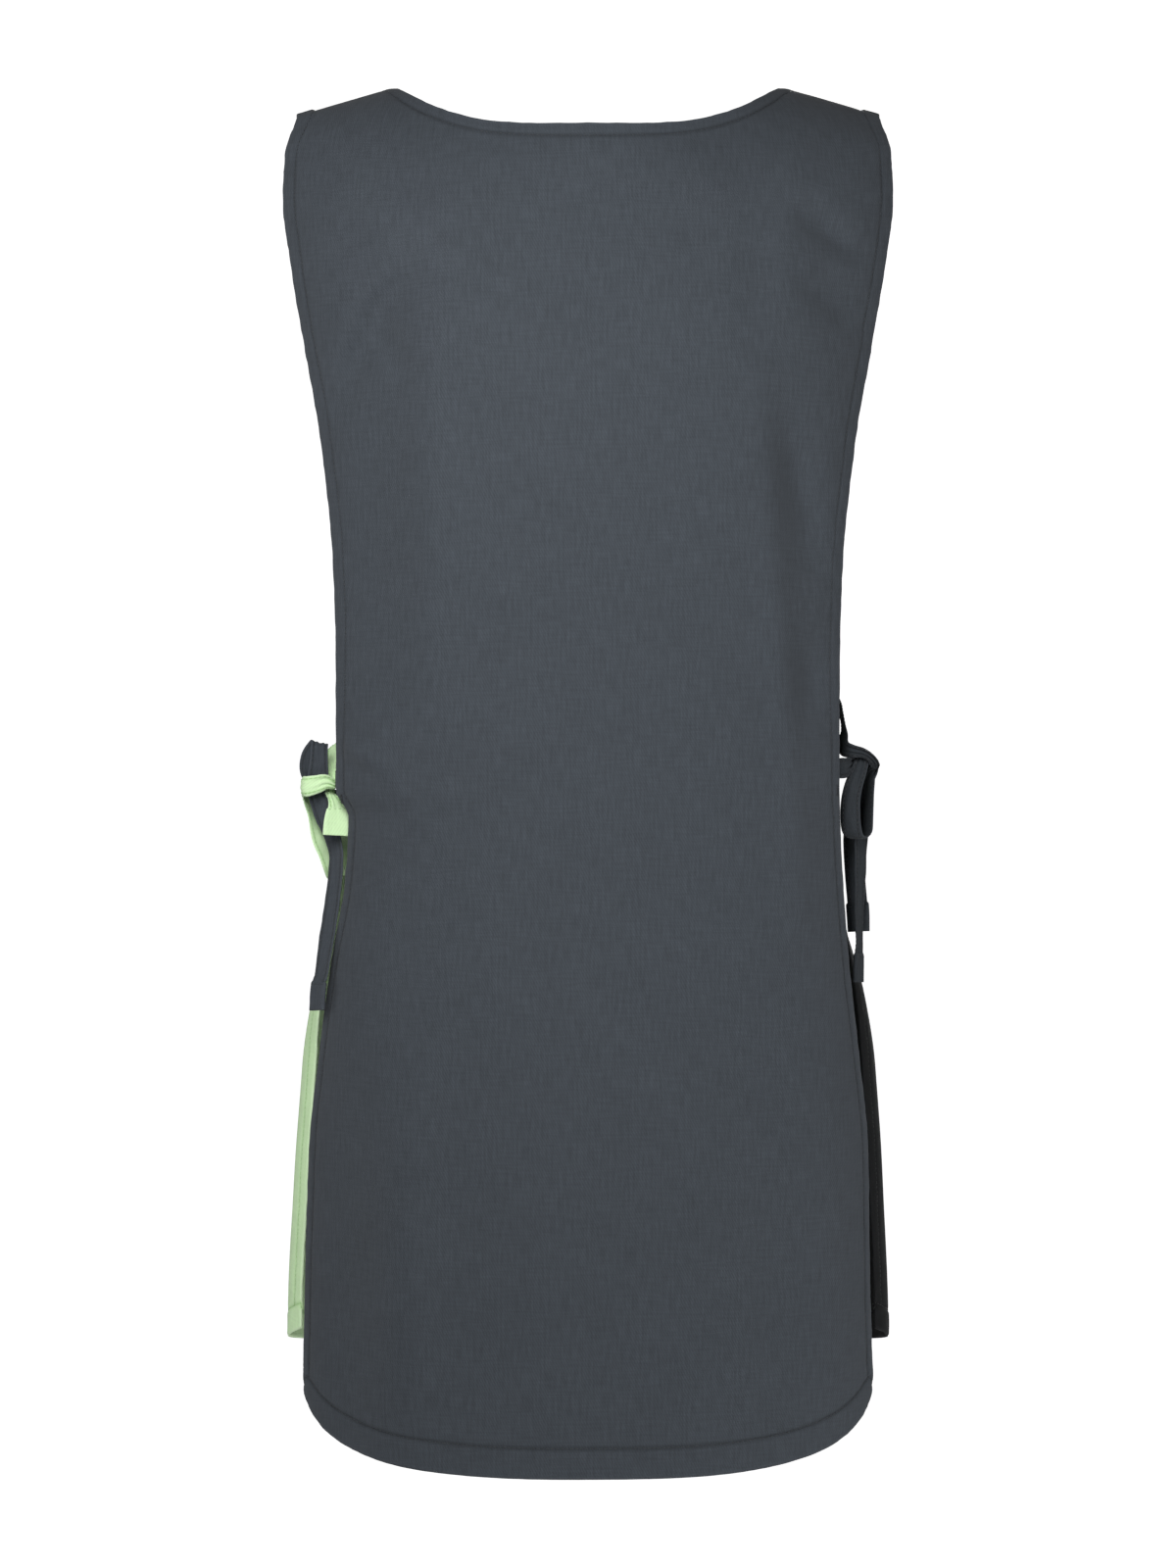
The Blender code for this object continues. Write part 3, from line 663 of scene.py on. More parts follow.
def layOn(tree, path, points, normals):
    # drops a path onto the cloth; the second array is the way that the cloth's face looks there
    grid = KDTree(points.shape[0] * points.shape[1])
    for i, place in enumerate(points.reshape(-1, 3)):
        grid.insert(place, i)
    grid.balance()
    flat = normals.reshape(-1, 3)
    places = np.array([tree.find_nearest(Vector(point))[0] for point in path])
    facing = np.array([flat[grid.find(place)[1]] for place in places])
    return places, facing


def gridQuads(rows, columns):
    # the corners' numbers on a grid, and its four-sided faces
    index = np.arange(rows * columns).reshape(rows, columns)
    quads = np.stack([index[:-1, :-1], index[1:, :-1], index[1:, 1:], index[:-1, 1:]], axis=-1)
    return index, quads.reshape(-1, 4)


def closedSheet(name, outer, inner, uv, paleEdge, paintedSeamShade, material):
    # a closed wall between two grids of points in millimetres
    rows, columns = outer.shape[:2]
    count = rows * columns
    index, quads = gridQuads(rows, columns)
    rim = np.concatenate([index[:-1, 0], index[-1, :-1], index[:0:-1, -1], index[0, :0:-1]])
    ahead = np.roll(rim, -1)
    wall = np.stack([rim, rim + count, ahead + count, ahead], axis=-1)
    faces = np.concatenate([quads, quads[:, ::-1] + count, wall])
    middle = outer[rows // 2, columns // 2] - inner[rows // 2, columns // 2]
    corner = quads[len(quads) // 2]
    flat = outer.reshape(-1, 3)
    facing = np.cross(flat[corner[1]] - flat[corner[0]], flat[corner[2]] - flat[corner[1]])
    if facing @ middle < 0:
        faces = faces[:, ::-1]
    mesh = bpy.data.meshes.new(name)
    points = np.concatenate([flat, inner.reshape(-1, 3)]) * mm
    mesh.from_pydata(points.tolist(), [], faces.tolist())
    layer = mesh.uv_layers.new(name="cloth")
    corners = np.empty(len(mesh.loops), int)
    mesh.loops.foreach_get("vertex_index", corners)
    layer.data.foreach_set("uv", np.tile(uv.reshape(-1, 2), (2, 1))[corners].ravel())
    for label, values in (("paleEdge", paleEdge), ("paintedSeamShade", paintedSeamShade)):
        mark = mesh.attributes.new(label, "FLOAT", "POINT")
        mark.data.foreach_set("value", np.tile(values.ravel(), 2))
    mesh.shade_smooth()
    mesh.materials.append(material)
    return newObject(name, mesh)


def clothUv(points, middleColumn, middleRow):
    # how far each point lies across and down the cloth, in millimetres
    across = np.linalg.norm(np.diff(points, axis=1), axis=-1)
    across = np.concatenate([np.zeros((len(points), 1)), np.cumsum(across, axis=1)], axis=1)
    across -= across[:, middleColumn:middleColumn + 1]
    down = np.linalg.norm(np.diff(points, axis=0), axis=-1)
    down = np.concatenate([np.zeros((1, points.shape[1])), np.cumsum(down, axis=0)], axis=0)
    down -= down[middleRow:middleRow + 1]
    return np.stack([across, -down], axis=-1)


def sideInset(level):
    # how far the side stitching lies from the edge at a level
    done = smoothStep((sewing["insetFrom"] - level) / (sewing["insetFrom"] - sewing["insetTo"]))
    return sewing["armholeInset"] + (sewing["sideInset"] - sewing["armholeInset"]) * done


def hemHeight(panel, share, shares, base):
    # the level of the hem's stitching above a share of the half width; it runs out at the side
    band = panel["hemBand"] * (1 - np.exp(-(1 - abs(share)) * panel["hemTaper"]))
    return np.interp(share, shares[-1], base[-1][:, 2]) + band


def hemPath(panel, shares, base):
    # along the hem's stitching, from side to side
    across = shares[-1][1:-1]
    end = panel["sections"][-1].level
    levels = np.linspace(end + sewing["hemReach"], end, sewing["hemSamples"])
    heights = clothPoints(panel, across[:, None], levels[None, :])[..., 2]
    wanted = hemHeight(panel, across, shares, base)
    found = [np.interp(want, column[::-1], levels[::-1]) for want, column in zip(wanted, heights)]
    return clothPoints(panel, across, np.array(found))


def makePanel(name, panel, half, material):
    # one panel with turned hems, the runs of its stitching, and its face for what is sewn on later
    shares, levels = panelGrid(panel, half)
    base = clothPoints(panel, shares, levels)
    normals = gridNormals(base, panel["outward"])
    rows, columns = shares.shape
    corner = shape["seamHalf"][0]
    sides = [side for side in (-1, 1) if half in (0, side)]
    edgeColumn = {-1: 0, 1: columns - 1}

    topRow = base[0]
    neckColumns = np.flatnonzero(abs(topRow[:, 0]) <= corner + 0.01)
    seamRuns = [np.flatnonzero(topRow[:, 0] * side >= corner - 0.01) for side in sides]
    everyRow = np.arange(rows)

    # lines of stitching
    lines = {"neck": insetPath(base, normals, 0, neckColumns, sewing["neckInset"])}
    lines["hem"] = hemPath(panel, shares, base)
    for side in sides:
        path = insetPath(base, normals, everyRow, edgeColumn[side], sideInset(levels[:, :1]))
        insetShare = side * (1 - sewing["sideInset"] / sewing["halfAlong"])
        lines[f"side{side}"] = path[path[:, 2] > hemHeight(panel, insetShare, shares, base) + 0.5]
    for number, run in enumerate(seamRuns):
        lines[f"seam{number}"] = insetPath(base, normals, 0, run, sewing["seamInset"])[2:-2]
    if half:
        lines["middle"] = insetPath(base, normals, everyRow[3:-2], edgeColumn[-half], sewing["seamInset"])
    lines = {key: spaced(path, sewing["lineStep"]) for key, path in lines.items()}

    def gapTo(paths):
        return np.minimum.reduce([distanceTo(base, spaced(path, sewing["lineStep"])) for path in paths])

    # how far each point lies from the edges, seams and stitching
    neckGap = gapTo([topRow[neckColumns]])
    hemGap = gapTo([base[-1]])
    sideGap = gapTo([base[:, edgeColumn[side]] for side in sides])
    joins = [topRow[run] for run in seamRuns]
    seamGap = gapTo(joins)
    if half:
        joins.append(base[:, edgeColumn[-half]])
    joinGap = gapTo(joins)
    aboveHem = base[..., 2] - hemHeight(panel, shares, shares, base)
    edgeGap = np.minimum.reduce([neckGap, sideGap, hemGap])

    turned = np.maximum.reduce([
        smoothStep((inset + sewing["stepBeyond"] - gap) / sewing["stepWidth"])
        for inset, gap in ((sewing["neckInset"], neckGap), (sideInset(levels), sideGap), (0, aboveHem))])
    groove = np.exp(-((gapTo(lines.values()) / sewing["grooveWidth"]) ** 2))
    joined = np.exp(-((joinGap / sewing["seamWidth"]) ** 2))
    rounding = np.clip(1 - edgeGap / sewing["edgeRound"], 0, 1) ** 2
    besideHem = np.exp(-(((edgeGap - sewing["drawnAt"]) / sewing["drawnWidth"]) ** 2))
    drawn = np.maximum(turned, sewing["drawnShare"] * besideHem)
    tip = np.exp(-((seamGap / sewing["tipLength"]) ** 2))
    tip = tip * smoothStep((sewing["armholeInset"] - sideGap) / sewing["tipFade"] + 0.5)

    relief = sewing["puff"] * turned * (1 - groove) - sewing["grooveDepth"] * groove
    relief -= sewing["seamDip"] * joined
    relief += sewing["pucker"] * wave(base, sewing["puckerLength"], panel["seed"]) * drawn
    relief += sewing["unevenness"] * wave(base, sewing["unevenLength"], panel["seed"] + 5)
    relief += sewing["tipLift"] * turned * tip
    thickness = sewing["wall"] + (sewing["turnedWall"] - sewing["wall"]) * turned
    rim = sewing["rimShare"] * thickness * rounding
    outer = base + normals * (relief - rim)[..., None]
    inner = base + normals * (relief - thickness + rim)[..., None]
    # paler along the cloth's edges
    paleEdge = np.exp(-((edgeGap / sewing["paleEdgeWidth"]) ** 2)) * (1 - joined)
    uv = clothUv(base, int(np.argmin(abs(shares[rows // 2]))), rows // 2)
    # the stitching's grooves and the seams' joins get painted shade as well as their dip
    sheet = closedSheet(name, outer, inner, uv, paleEdge, np.maximum(groove, joined), material)

    quads = gridQuads(rows, columns)[1].tolist()
    outerTree, innerTree = (
        BVHTree.FromPolygons(face.reshape(-1, 3).tolist(), quads) for face in (outer, inner))
    runs = []
    for path in lines.values():
        runs.append(layOn(outerTree, path, base, normals))
        runs.append(layOn(innerTree, path, base, -normals))
    return sheet, runs, (outerTree, base, normals)


# Stitching, laid along paths by a node tree

# sizes in millimetres, turns in degrees; the names are the tree's inputs
stitch = {
    "Pitch": 2.9,
    "Length": 2.3,
    "Width": 0.60,
    "Height": 0.50,
    "Turn": 0.0,
    "Looseness": 4.0,
}


def stitchTree(name):
    # one small rounded stitch at each step of the paths, lying on the cloth along the path
    tree = bpy.data.node_groups.new(name, "GeometryNodeTree")
    tree.interface.new_socket("Geometry", in_out="INPUT", socket_type="NodeSocketGeometry")
    for label in stitch:
        tree.interface.new_socket(label, in_out="INPUT", socket_type="NodeSocketFloat")
    tree.interface.new_socket("Seed", in_out="INPUT", socket_type="NodeSocketInt")
    tree.interface.new_socket("Thread", in_out="INPUT", socket_type="NodeSocketMaterial")
    tree.interface.new_socket("Geometry", in_out="OUTPUT", socket_type="NodeSocketGeometry")
    start = addNode(tree, "NodeGroupInput").outputs
    finish = addNode(tree, "NodeGroupOutput")

    curve = addNode(tree, "GeometryNodeMeshToCurve", None, {"Mesh": start["Geometry"]})
    steps = addNode(tree, "GeometryNodeResampleCurve", {"mode": "LENGTH"}, {
        "Curve": curve.outputs["Curve"], "Length": start["Pitch"]})
    facing = addNode(tree, "GeometryNodeInputNamedAttribute", {"data_type": "FLOAT_VECTOR"}, {
        "Name": "facing"})
    ahead = addNode(tree, "GeometryNodeInputTangent")
    laid = addNode(tree, "FunctionNodeAxesToRotation", {"primary_axis": "Z", "secondary_axis": "X"}, {
        "Primary Axis": facing.outputs["Attribute"], "Secondary Axis": ahead.outputs["Tangent"]})
    slip = addNode(tree, "FunctionNodeRandomValue", {"data_type": "FLOAT"}, {"Seed": start["Seed"]})
    slip.inputs[2].default_value = -1.0
    slip.inputs[3].default_value = 1.0
    slipTurn = addNode(tree, "ShaderNodeMath", {"operation": "MULTIPLY_ADD"}, {
        0: slip.outputs[1], 1: start["Looseness"], 2: start["Turn"]})
    slipRadians = addNode(tree, "ShaderNodeMath", {"operation": "RADIANS"}, {
        0: slipTurn.outputs["Value"]})
    yaw = addNode(tree, "FunctionNodeAxisAngleToRotation", None, {
        "Axis": (0, 0, 1), "Angle": slipRadians.outputs["Value"]})
    turned = addNode(tree, "FunctionNodeRotateRotation", {"rotation_space": "LOCAL"}, {
        "Rotation": laid.outputs["Rotation"], "Rotate By": yaw.outputs["Rotation"]})
    ball = addNode(tree, "GeometryNodeMeshUVSphere", None, {"Segments": 6, "Rings": 4, "Radius": 0.5})
    size = addNode(tree, "ShaderNodeCombineXYZ", None, {
        "X": start["Length"], "Y": start["Width"], "Z": start["Height"]})
    placed = addNode(tree, "GeometryNodeInstanceOnPoints", None, {
        "Points": steps.outputs["Curve"], "Instance": ball.outputs["Mesh"],
        "Rotation": turned.outputs["Rotation"], "Scale": size.outputs["Vector"]})
    real = addNode(tree, "GeometryNodeRealizeInstances", None, {"Geometry": placed.outputs["Instances"]})
    dyed = addNode(tree, "GeometryNodeSetMaterial", None, {
        "Geometry": real.outputs["Geometry"], "Material": start["Thread"]})
    tree.links.new(dyed.outputs["Geometry"], finish.inputs["Geometry"])
    return tree


def sewRuns(name, runs, settings, seed, material):
    # stitches along runs of places in millimetres, as one plain mesh
    places = np.concatenate([run[0] for run in runs]) * mm
    facing = np.concatenate([run[1] for run in runs])
    edges, first = [], 0
    for run in runs:
        edges += [(i, i + 1) for i in range(first, first + len(run[0]) - 1)]
        first += len(run[0])
    guide = bpy.data.meshes.new(name + "_guide")
    guide.from_pydata(places.tolist(), edges, [])
    mark = guide.attributes.new("facing", "FLOAT_VECTOR", "POINT")
    mark.data.foreach_set("vector", facing.ravel())
    carrier = newObject(name + "_guide", guide)
    sewn = carrier.modifiers.new("stitches", "NODES")
    sewn.node_group = stitches
    sockets = {
        item.name: item.identifier for item in stitches.interface.items_tree if item.in_out == "INPUT"}
    for label, value in settings.items():
        sewn[sockets[label]] = value if label in ("Turn", "Looseness") else value * mm
    sewn[sockets["Seed"]] = seed
    sewn[sockets["Thread"]] = material
    evaluated = carrier.evaluated_get(bpy.context.evaluated_depsgraph_get())
    mesh = bpy.data.meshes.new_from_object(evaluated)
    bpy.data.objects.remove(carrier)
    mesh.name = name
    mesh.shade_smooth()
    return newObject(name, mesh)


stitches = stitchTree("stitches")

# one row for each panel: its shape, which half it is, its cloth, the size and area that it was cut to
# in metres, and the panel that it hangs from
PanelRow = namedtuple("PanelRow", "name panel half tone flat area carrier")

panelRows = (
    PanelRow("back_panel", backPanel, 0, "slate", (0.420, 0.870), 0.325, "front_panel_dark"),
    PanelRow("front_panel_dark", frontPanel, 1, "charcoal", (0.215, 0.805), 0.150, "back_panel"),
    PanelRow("front_panel_green", frontPanel, -1, "apple", (0.215, 0.805), 0.150, "back_panel"),
)

# what has been made: its row, its cloth, the stitching that goes with it, its flat size and its area
Made = namedtuple("Made", "row cloth sewn flat area")
pieces = []
surfaces = {}
for seed, row in enumerate(panelRows, 1):
    cloth, runs, surfaces[row.name] = makePanel(row.name + "_cloth", row.panel, row.half, twill[row.tone])
    sewn = sewRuns(row.name + "_stitching", runs, stitch, seed, thread[row.tone])
    pieces.append(Made(row, cloth, [sewn], row.flat, row.area))
    print(row.name, "has", len(cloth.data.polygons), "faces, its stitching", len(sewn.data.polygons))


# The ties

# one row for each bend of a tie: where its middle is, the way its width lies, and how much of its
# width is spread there; what isn't spread is gathered into pleats
Bend = namedtuple("Bend", "x y z wideX wideY wideZ spread", defaults=(1.0,))

backLeftRoute = (
    Bend(-153.2, -24.0, -428.8, 0.0, -0.1, 1.0),
    Bend(-152.0, -10.0, -433.4, 0.0, -0.2, 1.0, 0.8),
    Bend(-155.2, 0.6, -436.6, 0.0, 0.0, 1.0, 0.6),
    Bend(-161.0, 3.0, -437.0, 0.25, 0.0, 1.0, 0.5),         # round behind the knot
    Bend(-166.8, 1.2, -434.0, 0.7, 0.0, 0.7, 0.6),
    Bend(-171.0, -2.2, -427.5, 1.0, 0.0, 0.15, 0.8),
    Bend(-172.8, -6.0, -420.5, 1.0, 0.0, 0.1, 0.9),         # up into the small loop, leaning out
    Bend(-171.0, -9.0, -413.0, 1.0, 0.0, -0.1),
    Bend(-167.6, -11.8, -406.8, 1.0, 0.1, -0.2, 0.9),
    Bend(-165.6, -14.8, -404.9, 1.0, 0.1, -0.2, 0.85),
    Bend(-165.6, -18.0, -408.3, 1.0, 0.1, -0.1, 0.85),
    Bend(-165.8, -18.8, -416.0, 1.0, 0.0, 0.0, 0.9),
    Bend(-166.2, -18.8, -424.0, 1.0, 0.0, 0.0),
    Bend(-167.6, -17.5, -431.0, 1.0, 0.0, 0.0, 0.85),       # through the knot
    Bend(-166.6, -16.2, -438.0, 1.0, 0.0, 0.1, 0.9),
    Bend(-164.6, -15.5, -443.0, 0.9, -0.2, 0.2),
    Bend(-162.6, -15.6, -449.5, 0.9, -0.3, 0.25),           # the long end, behind the short one
    Bend(-159.2, -15.8, -457.5, 0.8, -0.5, 0.3),
    Bend(-156.6, -15.8, -465.0, 0.75, -0.6, 0.25),
    Bend(-154.9, -17.5, -474.0, 0.7, -0.7, 0.0),
    Bend(-155.6, -21.5, -488.0, 0.72, -0.7, -0.05),
    Bend(-157.2, -26.0, -503.0, 0.74, -0.68, -0.1),
    Bend(-160.2, -32.5, -526.0, 0.74, -0.68, -0.1),
    Bend(-163.0, -37.8, -546.0, 0.68, -0.74, 0.0),
    Bend(-164.8, -38.6, -552.0, 0.66, -0.75, 0.0),
    Bend(-165.9, -40.6, -568.5, 0.66, -0.75, 0.0),
)

frontLeftRoute = (
    Bend(-151.0, 18.0, -399.0, 0.2, -0.3, 0.95),
    Bend(-156.0, 8.0, -405.0, 0.7, -0.3, 0.6),
    Bend(-157.6, -2.0, -413.0, 0.95, -0.2, 0.2, 0.85),
    Bend(-157.4, -9.5, -421.0, 0.95, -0.1, 0.2, 0.7),
    Bend(-155.6, -17.0, -428.6, 0.6, 0.0, 0.7, 0.45),       # the knot's inner corner
    Bend(-155.6, -21.5, -430.8, 0.1, 0.0, 1.0, 0.4),
    Bend(-161.0, -24.0, -428.9, 0.0, 0.0, 1.0, 0.75),
    Bend(-167.0, -24.6, -430.2, 0.0, 0.0, 1.0, 0.9),
    Bend(-172.8, -23.2, -431.4, 0.0, 0.0, 1.0),
    Bend(-176.2, -18.0, -431.4, 0.0, 0.0, 1.0, 0.95),
    Bend(-175.8, -10.5, -432.6, 0.0, 0.15, 1.0, 0.85),
    Bend(-174.6, -5.6, -437.4, 0.2, 0.7, 0.7, 0.85),
    Bend(-172.4, -3.6, -443.5, 0.45, 0.9, 0.05),            # outer strand of the big loop
    Bend(-168.6, -4.0, -453.5, 0.65, 0.75, 0.0),
    Bend(-165.4, -5.5, -464.5, 0.8, 0.6, 0.1),
    Bend(-161.2, -6.0, -473.5, 0.85, 0.5, 0.1),
    Bend(-157.9, -5.0, -481.0, 0.9, 0.3, 0.1),
    Bend(-155.4, 0.0, -486.2, 0.95, 0.1, 0.2),              # turn at the bottom
    Bend(-152.6, 5.0, -480.5, 0.95, 0.1, 0.25),
    Bend(-151.4, 5.5, -471.0, 0.95, 0.2, 0.2),
    Bend(-153.2, -1.5, -459.0, 0.8, 0.6, 0.0),
    Bend(-155.2, -7.0, -449.0, 0.1, 1.0, 0.0, 0.8),
    Bend(-157.9, -12.4, -437.0, 0.0, 1.0, 0.0, 0.6),        # back up into the knot
    Bend(-157.9, -12.4, -431.2, 0.0, 1.0, 0.0, 0.5),
    Bend(-159.4, -12.4, -429.4, 0.0, 1.0, 0.0, 0.5),
    Bend(-161.0, -12.4, -431.2, 0.0, 1.0, 0.0, 0.5),
    Bend(-160.2, -14.8, -435.0, 0.2, 0.95, 0.0, 0.5),
    Bend(-157.0, -20.5, -439.0, 0.9, 0.4, 0.0, 0.6),
    Bend(-154.2, -25.2, -445.0, 1.0, 0.15, 0.05, 0.92),     # short end, fanned out
    Bend(-154.5, -27.4, -454.0, 1.0, 0.05, 0.05, 1.1),
    Bend(-154.9, -28.2, -461.6, 1.0, 0.0, 0.0, 1.12),
)

backRightRoute = (
    Bend(157.6, -27.5, -420.0, 0.0, 0.0, 1.0),
    Bend(160.6, -24.2, -418.4, 0.0, 0.0, 1.0, 0.8),
    Bend(163.6, -19.4, -416.6, 0.0, 0.0, 1.0, 0.6),
    Bend(166.4, -13.0, -416.6, 0.0, 0.0, 1.0, 0.5),         # through the knot
    Bend(167.2, -5.5, -418.4, 0.0, 0.1, 1.0, 0.5),
    Bend(166.0, 0.5, -422.6, 0.0, 0.5, 0.85, 0.5),
    Bend(164.0, 3.6, -430.0, 0.0, 1.0, 0.3, 0.7),
    Bend(162.4, 4.6, -441.0, 0.15, 1.0, 0.0, 0.9),
    Bend(163.2, 4.4, -454.0, 0.7, 0.7, 0.0),
    Bend(164.4, 4.0, -470.0, 0.95, 0.2, 0.05),
    Bend(165.6, 3.6, -488.0, 0.97, 0.1, 0.05),
    Bend(167.0, 3.0, -505.0, 0.97, 0.1, 0.08),
    Bend(167.8, 2.4, -521.5, 0.9, 0.3, 0.05),
)

frontRightRoute = (
    Bend(151.0, 19.5, -376.5, 0.0, -0.2, 1.0),
    Bend(155.6, 9.0, -381.5, 0.0, -0.4, 0.9),
    Bend(157.4, 0.0, -388.0, 0.0, -0.7, 0.7),
    Bend(157.6, -7.0, -396.0, 0.15, -0.9, 0.3, 0.9),
    Bend(157.0, -13.5, -402.4, 0.6, -0.6, 0.5, 0.85),
    Bend(158.0, -20.5, -408.0, 0.4, -0.2, 0.9, 0.8),
    Bend(162.6, -26.0, -409.8, 0.05, 0.0, 1.0, 0.65),       # the band across the knot
    Bend(168.8, -27.2, -410.9, 0.15, 0.0, 1.0, 0.5),
    Bend(173.8, -26.4, -413.8, 0.5, 0.0, 0.85, 0.42),
    Bend(176.8, -22.6, -417.6, 0.7, -0.1, 0.7, 0.42),
    Bend(176.0, -16.6, -420.4, 0.75, -0.5, 0.3, 0.5),
    Bend(173.8, -11.6, -426.0, 0.6, -0.8, 0.05, 0.85),      # far strand of the loop
    Bend(173.0, -9.2, -440.0, 0.55, -0.83, 0.0),
    Bend(172.4, -9.4, -450.0, 0.6, -0.8, 0.0),
    Bend(171.2, -11.0, -458.6, 0.7, -0.7, 0.0),
    Bend(168.0, -15.4, -462.6, 0.8, -0.6, 0.0),             # turn at the bottom
    Bend(164.2, -20.6, -462.2, 0.88, -0.45, 0.0),
    Bend(162.0, -23.6, -457.4, 0.97, -0.2, 0.0),
    Bend(161.3, -24.2, -449.0, 1.0, -0.1, 0.0),
    Bend(161.6, -24.4, -439.6, 1.0, -0.1, 0.0, 0.95),
    Bend(163.4, -24.2, -430.9, 1.0, -0.05, 0.15, 0.9),
    Bend(166.4, -23.4, -422.5, 1.0, 0.0, 0.2, 0.8),
    Bend(168.8, -22.0, -415.4, 1.0, 0.0, 0.1, 0.7),
    Bend(170.3, -17.6, -410.9, 1.0, 0.0, 0.0, 0.7),         # under the band and over
    Bend(170.6, -11.4, -411.8, 1.0, 0.0, 0.0, 0.7),
    Bend(170.6, -8.4, -419.0, 1.0, 0.0, 0.0, 0.75),
    Bend(169.6, -6.0, -432.0, 1.0, 0.0, 0.0, 0.9),
    Bend(168.6, -4.8, -449.0, 0.95, 0.3, 0.0),              # the long end
    Bend(168.6, -5.6, -466.5, 0.67, 0.74, 0.0),
    Bend(168.0, -7.0, -489.0, 0.55, 0.83, 0.0),
    Bend(167.4, -8.0, -508.0, 0.46, 0.89, 0.0),
    Bend(167.4, -8.6, -524.0, 0.36, 0.93, 0.0),
    Bend(167.2, -9.0, -536.0, 0.41, 0.91, 0.0),
    Bend(167.0, -9.4, -552.5, 0.43, 0.90, 0.0),
)

tie = {
    "width": 12.5,
    "wall": 1.3,
    "endWall": 2.8,              # the end is turned back on itself
    "endLength": 18.0,
    "endWidth": 14.4,
    "endStep": 0.8,
    "step": 0.9,
    "ring": 21,                  # points across each face
    "edgeSharpness": 9,
    "edgeShare": 0.75,           # of the wall that the edges' rounding takes
    "lap": 9.0,                  # under the panel's edge, where it is sewn on
    "lapReach": (-9.0, -4.5, -1.0, 3.5),     # bends of the lap, from the panel's edge
    "lapGap": 0.6,
    "lapSpan": 0.12,             # shares of the half width, and a height, over which the lap's place
    "lapStep": 0.02,             # on the panel is measured
    "lapRise": 4.0,
    "panelWall": 1.2,
    "freeLength": 8.0,           # from the lap to where it curls and ripples fully
    "cup": 0.45,                 # how far its edges curl
    "cupCentre": 0.35,           # keeps its mean place on the route
    "slowLength": 26.0,
    "ripple": 0.40,
    "rippleLength": 9.0,
    "rippleAcross": 1.2,
    "pleats": ((3.0, 2.0), (5.3, 0.8)),      # half turns across the width, and height when gathered
    "wander": 2.5,               # how far the pleats wander along it
    "worn": 0.8,                 # how much its edges take the paler fold colour
    "wornSharpness": 6,
    "seamWidth": 0.1,            # in shares of its half width
    "stitchIn": 1.9,             # edge stitching from the tie's edge
    "crossStitch": 2.2,          # end stitching from the end piece's upper edge
    "crossShare": 0.8,           # of the width that it crosses
}


def lapBends(panel, side, level):
    # the sewn end: flat against the inside of the panel, then out past its edge
    rise, halfStep = tie["lapRise"], tie["lapStep"] / 2
    shares = 1 - np.array([0, tie["lapSpan"], tie["lapStep"]])
    edge, inner, beside = clothPoints(panel, shares * side, np.full(3, level))
    perMm = tie["lapSpan"] / np.linalg.norm(edge - inner)
    onward = unit(edge - beside)
    bends = []
    for reach in tie["lapReach"]:
        onCloth = min(reach, -1.0)
        share = side * (1 + onCloth * perMm)
        near = share - halfStep * side
        ahead, behind, down, up, place = clothPoints(
            panel, np.array([near + halfStep, near - halfStep, near, near, share]),
            np.array([level, level, level - rise, level + rise, level]))
        normal = unit(np.cross(ahead - behind, down - up))
        normal *= 1 if normal[1] * panel["outward"] > 0 else -1
        place = place - normal * (tie["panelWall"] + tie["lapGap"] + tie["wall"] / 2)
        place = place + onward * (reach - onCloth)
        above, below = clothPoints(panel, np.full(2, share), np.array([level + rise, level - rise]))
        bends.append(Bend(*place, *unit(above - below)))
    return bends


def smoothRoute(bends, step):
    # places and width directions on a smooth curve through the bends, at close steps
    values = np.array(bends, float)
    samples = []
    for i in range(len(values) - 1):
        before, start = values[max(i - 1, 0)], values[i]
        end, after = values[i + 1], values[min(i + 2, len(values) - 1)]
        lean = end - before
        bow = 2 * before - 5 * start + 4 * end - after
        twist = 3 * start - before - 3 * end + after
        count = max(3, round(np.linalg.norm(end[:3] - start[:3]) / step))
        for t in np.arange(count) / count:
            samples.append(0.5 * (2 * start + lean * t + bow * t**2 + twist * t**3))
    samples.append(values[-1])
    return np.array(samples)


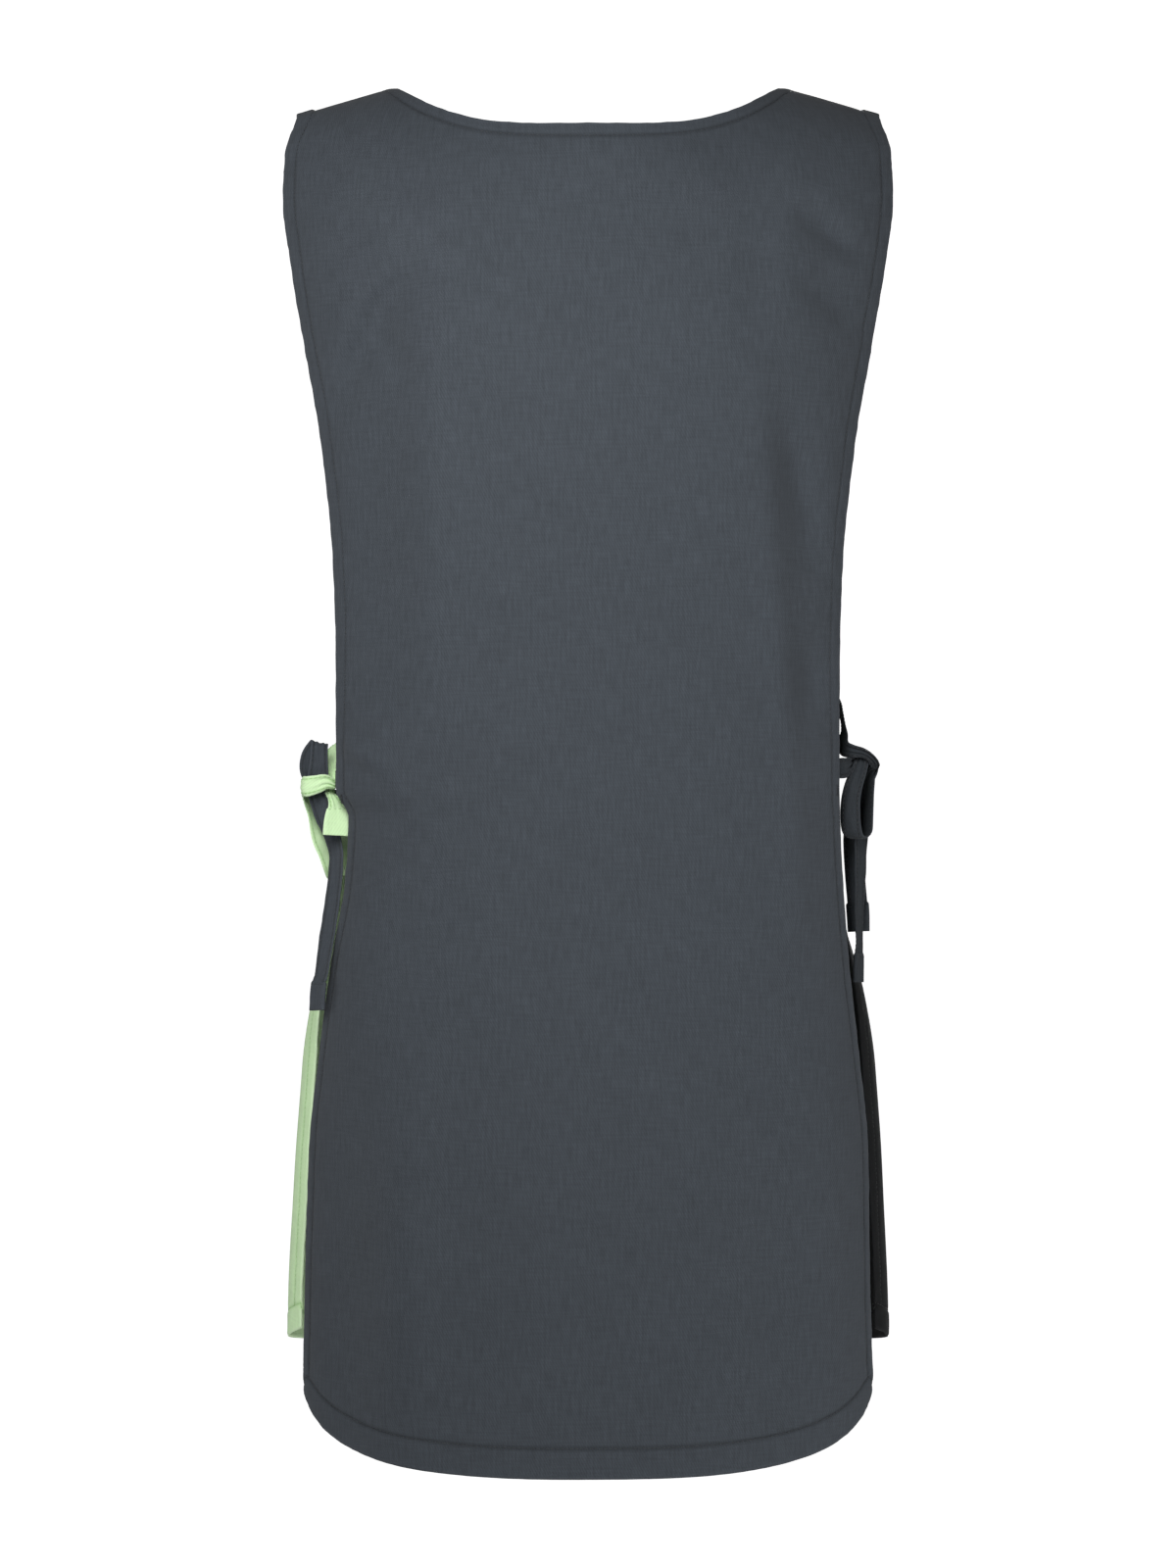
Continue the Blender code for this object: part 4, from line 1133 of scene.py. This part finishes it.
def makeTie(name, bends, material, seed):
    # a flat folded tie with rounded edges, and the runs of its edge and end stitching
    samples = smoothRoute(bends, tie["step"])
    places, wide, spread = samples[:, :3], samples[:, 3:6], samples[:, 6]
    ahead = unit(np.gradient(places, axis=0))
    wide = unit(wide - ahead * np.sum(wide * ahead, axis=1, keepdims=True))
    up = np.cross(ahead, wide)
    lengths = runLengths(places)
    toEnd = lengths[-1] - lengths
    doubled = smoothStep((tie["endLength"] - toEnd) / tie["endStep"])
    halfWall = (tie["wall"] + (tie["endWall"] - tie["wall"]) * doubled) / 2
    halfWidth = (tie["width"] + (tie["endWidth"] - tie["width"]) * doubled) / 2

    # how far each point stands out: curled edges, ripples, and pleats where it is gathered
    share = np.linspace(-1, 1, tie["ring"])
    slow = np.array([noise.noise(Vector((t / tie["slowLength"], seed, 0.5))) for t in lengths])
    quick = np.array([
        [noise.noise(Vector((t / tie["rippleLength"], s * tie["rippleAcross"], seed + 7))) for s in share]
        for t in lengths])
    free = smoothStep(np.minimum(lengths - tie["lap"], toEnd - 1) / tie["freeLength"])
    curl = tie["cup"] * (1 + slow)[:, None] * (share**2 - tie["cupCentre"])
    curl = (curl + tie["ripple"] * quick) * free[:, None]
    gathered = np.clip(1 - spread, 0, 1)
    for turns, height in tie["pleats"]:
        phase = seed + turns + tie["wander"] * slow
        curl = curl + (gathered * height)[:, None] * np.sin(pi * turns * share + phase[:, None])

    middle = places[:, None, :] + wide[:, None, :] * ((halfWidth * spread)[:, None] * share)[..., None]
    middle = middle + up[:, None, :] * curl[..., None]
    profile = 1 - abs(share) ** tie["edgeSharpness"] * tie["edgeShare"]
    lift = up[:, None, :] * (halfWall[:, None] * profile)[..., None]
    uv = np.stack(np.broadcast_arrays(halfWidth[:, None] * share, lengths[:, None]), axis=-1)
    # paler along its edges
    paleEdge = np.broadcast_to(abs(share) ** tie["wornSharpness"] * tie["worn"], middle.shape[:2])
    inset = 1 - tie["stitchIn"] / (tie["width"] / 2)
    # painted shade along the tie's edge stitching
    paintedSeamShade = np.exp(-(((abs(share) - inset) / tie["seamWidth"]) ** 2)) * (1 - doubled)[:, None]
    strip = closedSheet(name, middle + lift, middle - lift, uv, paleEdge, paintedSeamShade, material)

    keep = (lengths > tie["lap"]) & (toEnd > tie["endLength"] + 1)
    crossing = int(np.argmin(abs(toEnd - tie["endLength"] + tie["crossStitch"])))
    across = abs(share) < tie["crossShare"]
    runs = []
    for way in (1, -1):
        face = middle + way * lift
        for column in (np.argmin(abs(share - inset)), np.argmin(abs(share + inset))):
            runs.append((face[keep, column], up[keep] * way))
        runs.append((face[crossing, across], np.tile(up[crossing] * way, (across.sum(), 1))))
    return strip, runs, lengths[-1]


# one row for each tie: the panel it is sewn to, the side, the level of its lap, its route and cloth,
# its seed, and the panel that carries it
TieRow = namedtuple("TieRow", "name panel side level route tone seed carrier")

tieRows = (
    TieRow("tie_back_left", backPanel, -1, -427.0, backLeftRoute, "slate", 1, "back_panel"),
    TieRow("tie_front_left", frontPanel, -1, -394.5, frontLeftRoute, "apple", 2, "front_panel_green"),
    # the right ties are slate; their darker copy is painted shade
    TieRow("tie_back_right", backPanel, 1, -420.5, backRightRoute, "shadedSlate", 3, "back_panel"),
    TieRow("tie_front_right", frontPanel, 1, -373.0, frontRightRoute, "shadedSlate", 4, "front_panel_dark"),
)

# a bar tack is close stitches laid side by side over the end of a tie's seam
barTack = {"Pitch": 0.55, "Length": 3.4, "Width": 0.55, "Height": 0.6, "Turn": 90.0, "Looseness": 5.0}
tackPoints = 12
# one row for each bar tack: its place across the back panel and its two ends down it
Tack = namedtuple("Tack", "x top foot")
tacks = (
    Tack(-151.0, -436.4, -442.2),
    Tack(152.4, -431.0, -437.0),
)


def sewTacks(face, points, normals):
    runs = []
    for row in tacks:
        line = np.linspace(row.top, row.foot, tackPoints)
        nearest = [np.argmin(abs(points[..., 0] - row.x) + abs(points[..., 2] - z)) for z in line]
        depths = points.reshape(-1, 3)[nearest, 1]
        places = np.stack([np.full(tackPoints, row.x), depths, line], axis=-1)
        runs.append(layOn(face, places, points, normals))
    return sewRuns("back_panel_bar_tacks", runs, barTack, 20, thread["slate"])


# the bar tacks go with the back panel
pieces[0].sewn.append(sewTacks(*surfaces["back_panel"]))

for row in tieRows:
    bends = lapBends(row.panel, row.side, row.level) + list(row.route)
    strip, runs, length = makeTie(row.name + "_cloth", bends, twill[row.tone], row.seed)
    sewn = sewRuns(row.name + "_stitching", runs, stitch, row.seed + 10, thread[row.tone])
    flat = (tie["width"] * mm, float(length) * mm)
    pieces.append(Made(row, strip, [sewn], flat, None))
    print(row.name, "is", round(length), "mm long")


# What each piece stands for and rides on

for row, cloth, sewn, flat, area in pieces:
    for made in (cloth, *sewn):
        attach(made, "root")
    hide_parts(row.name)
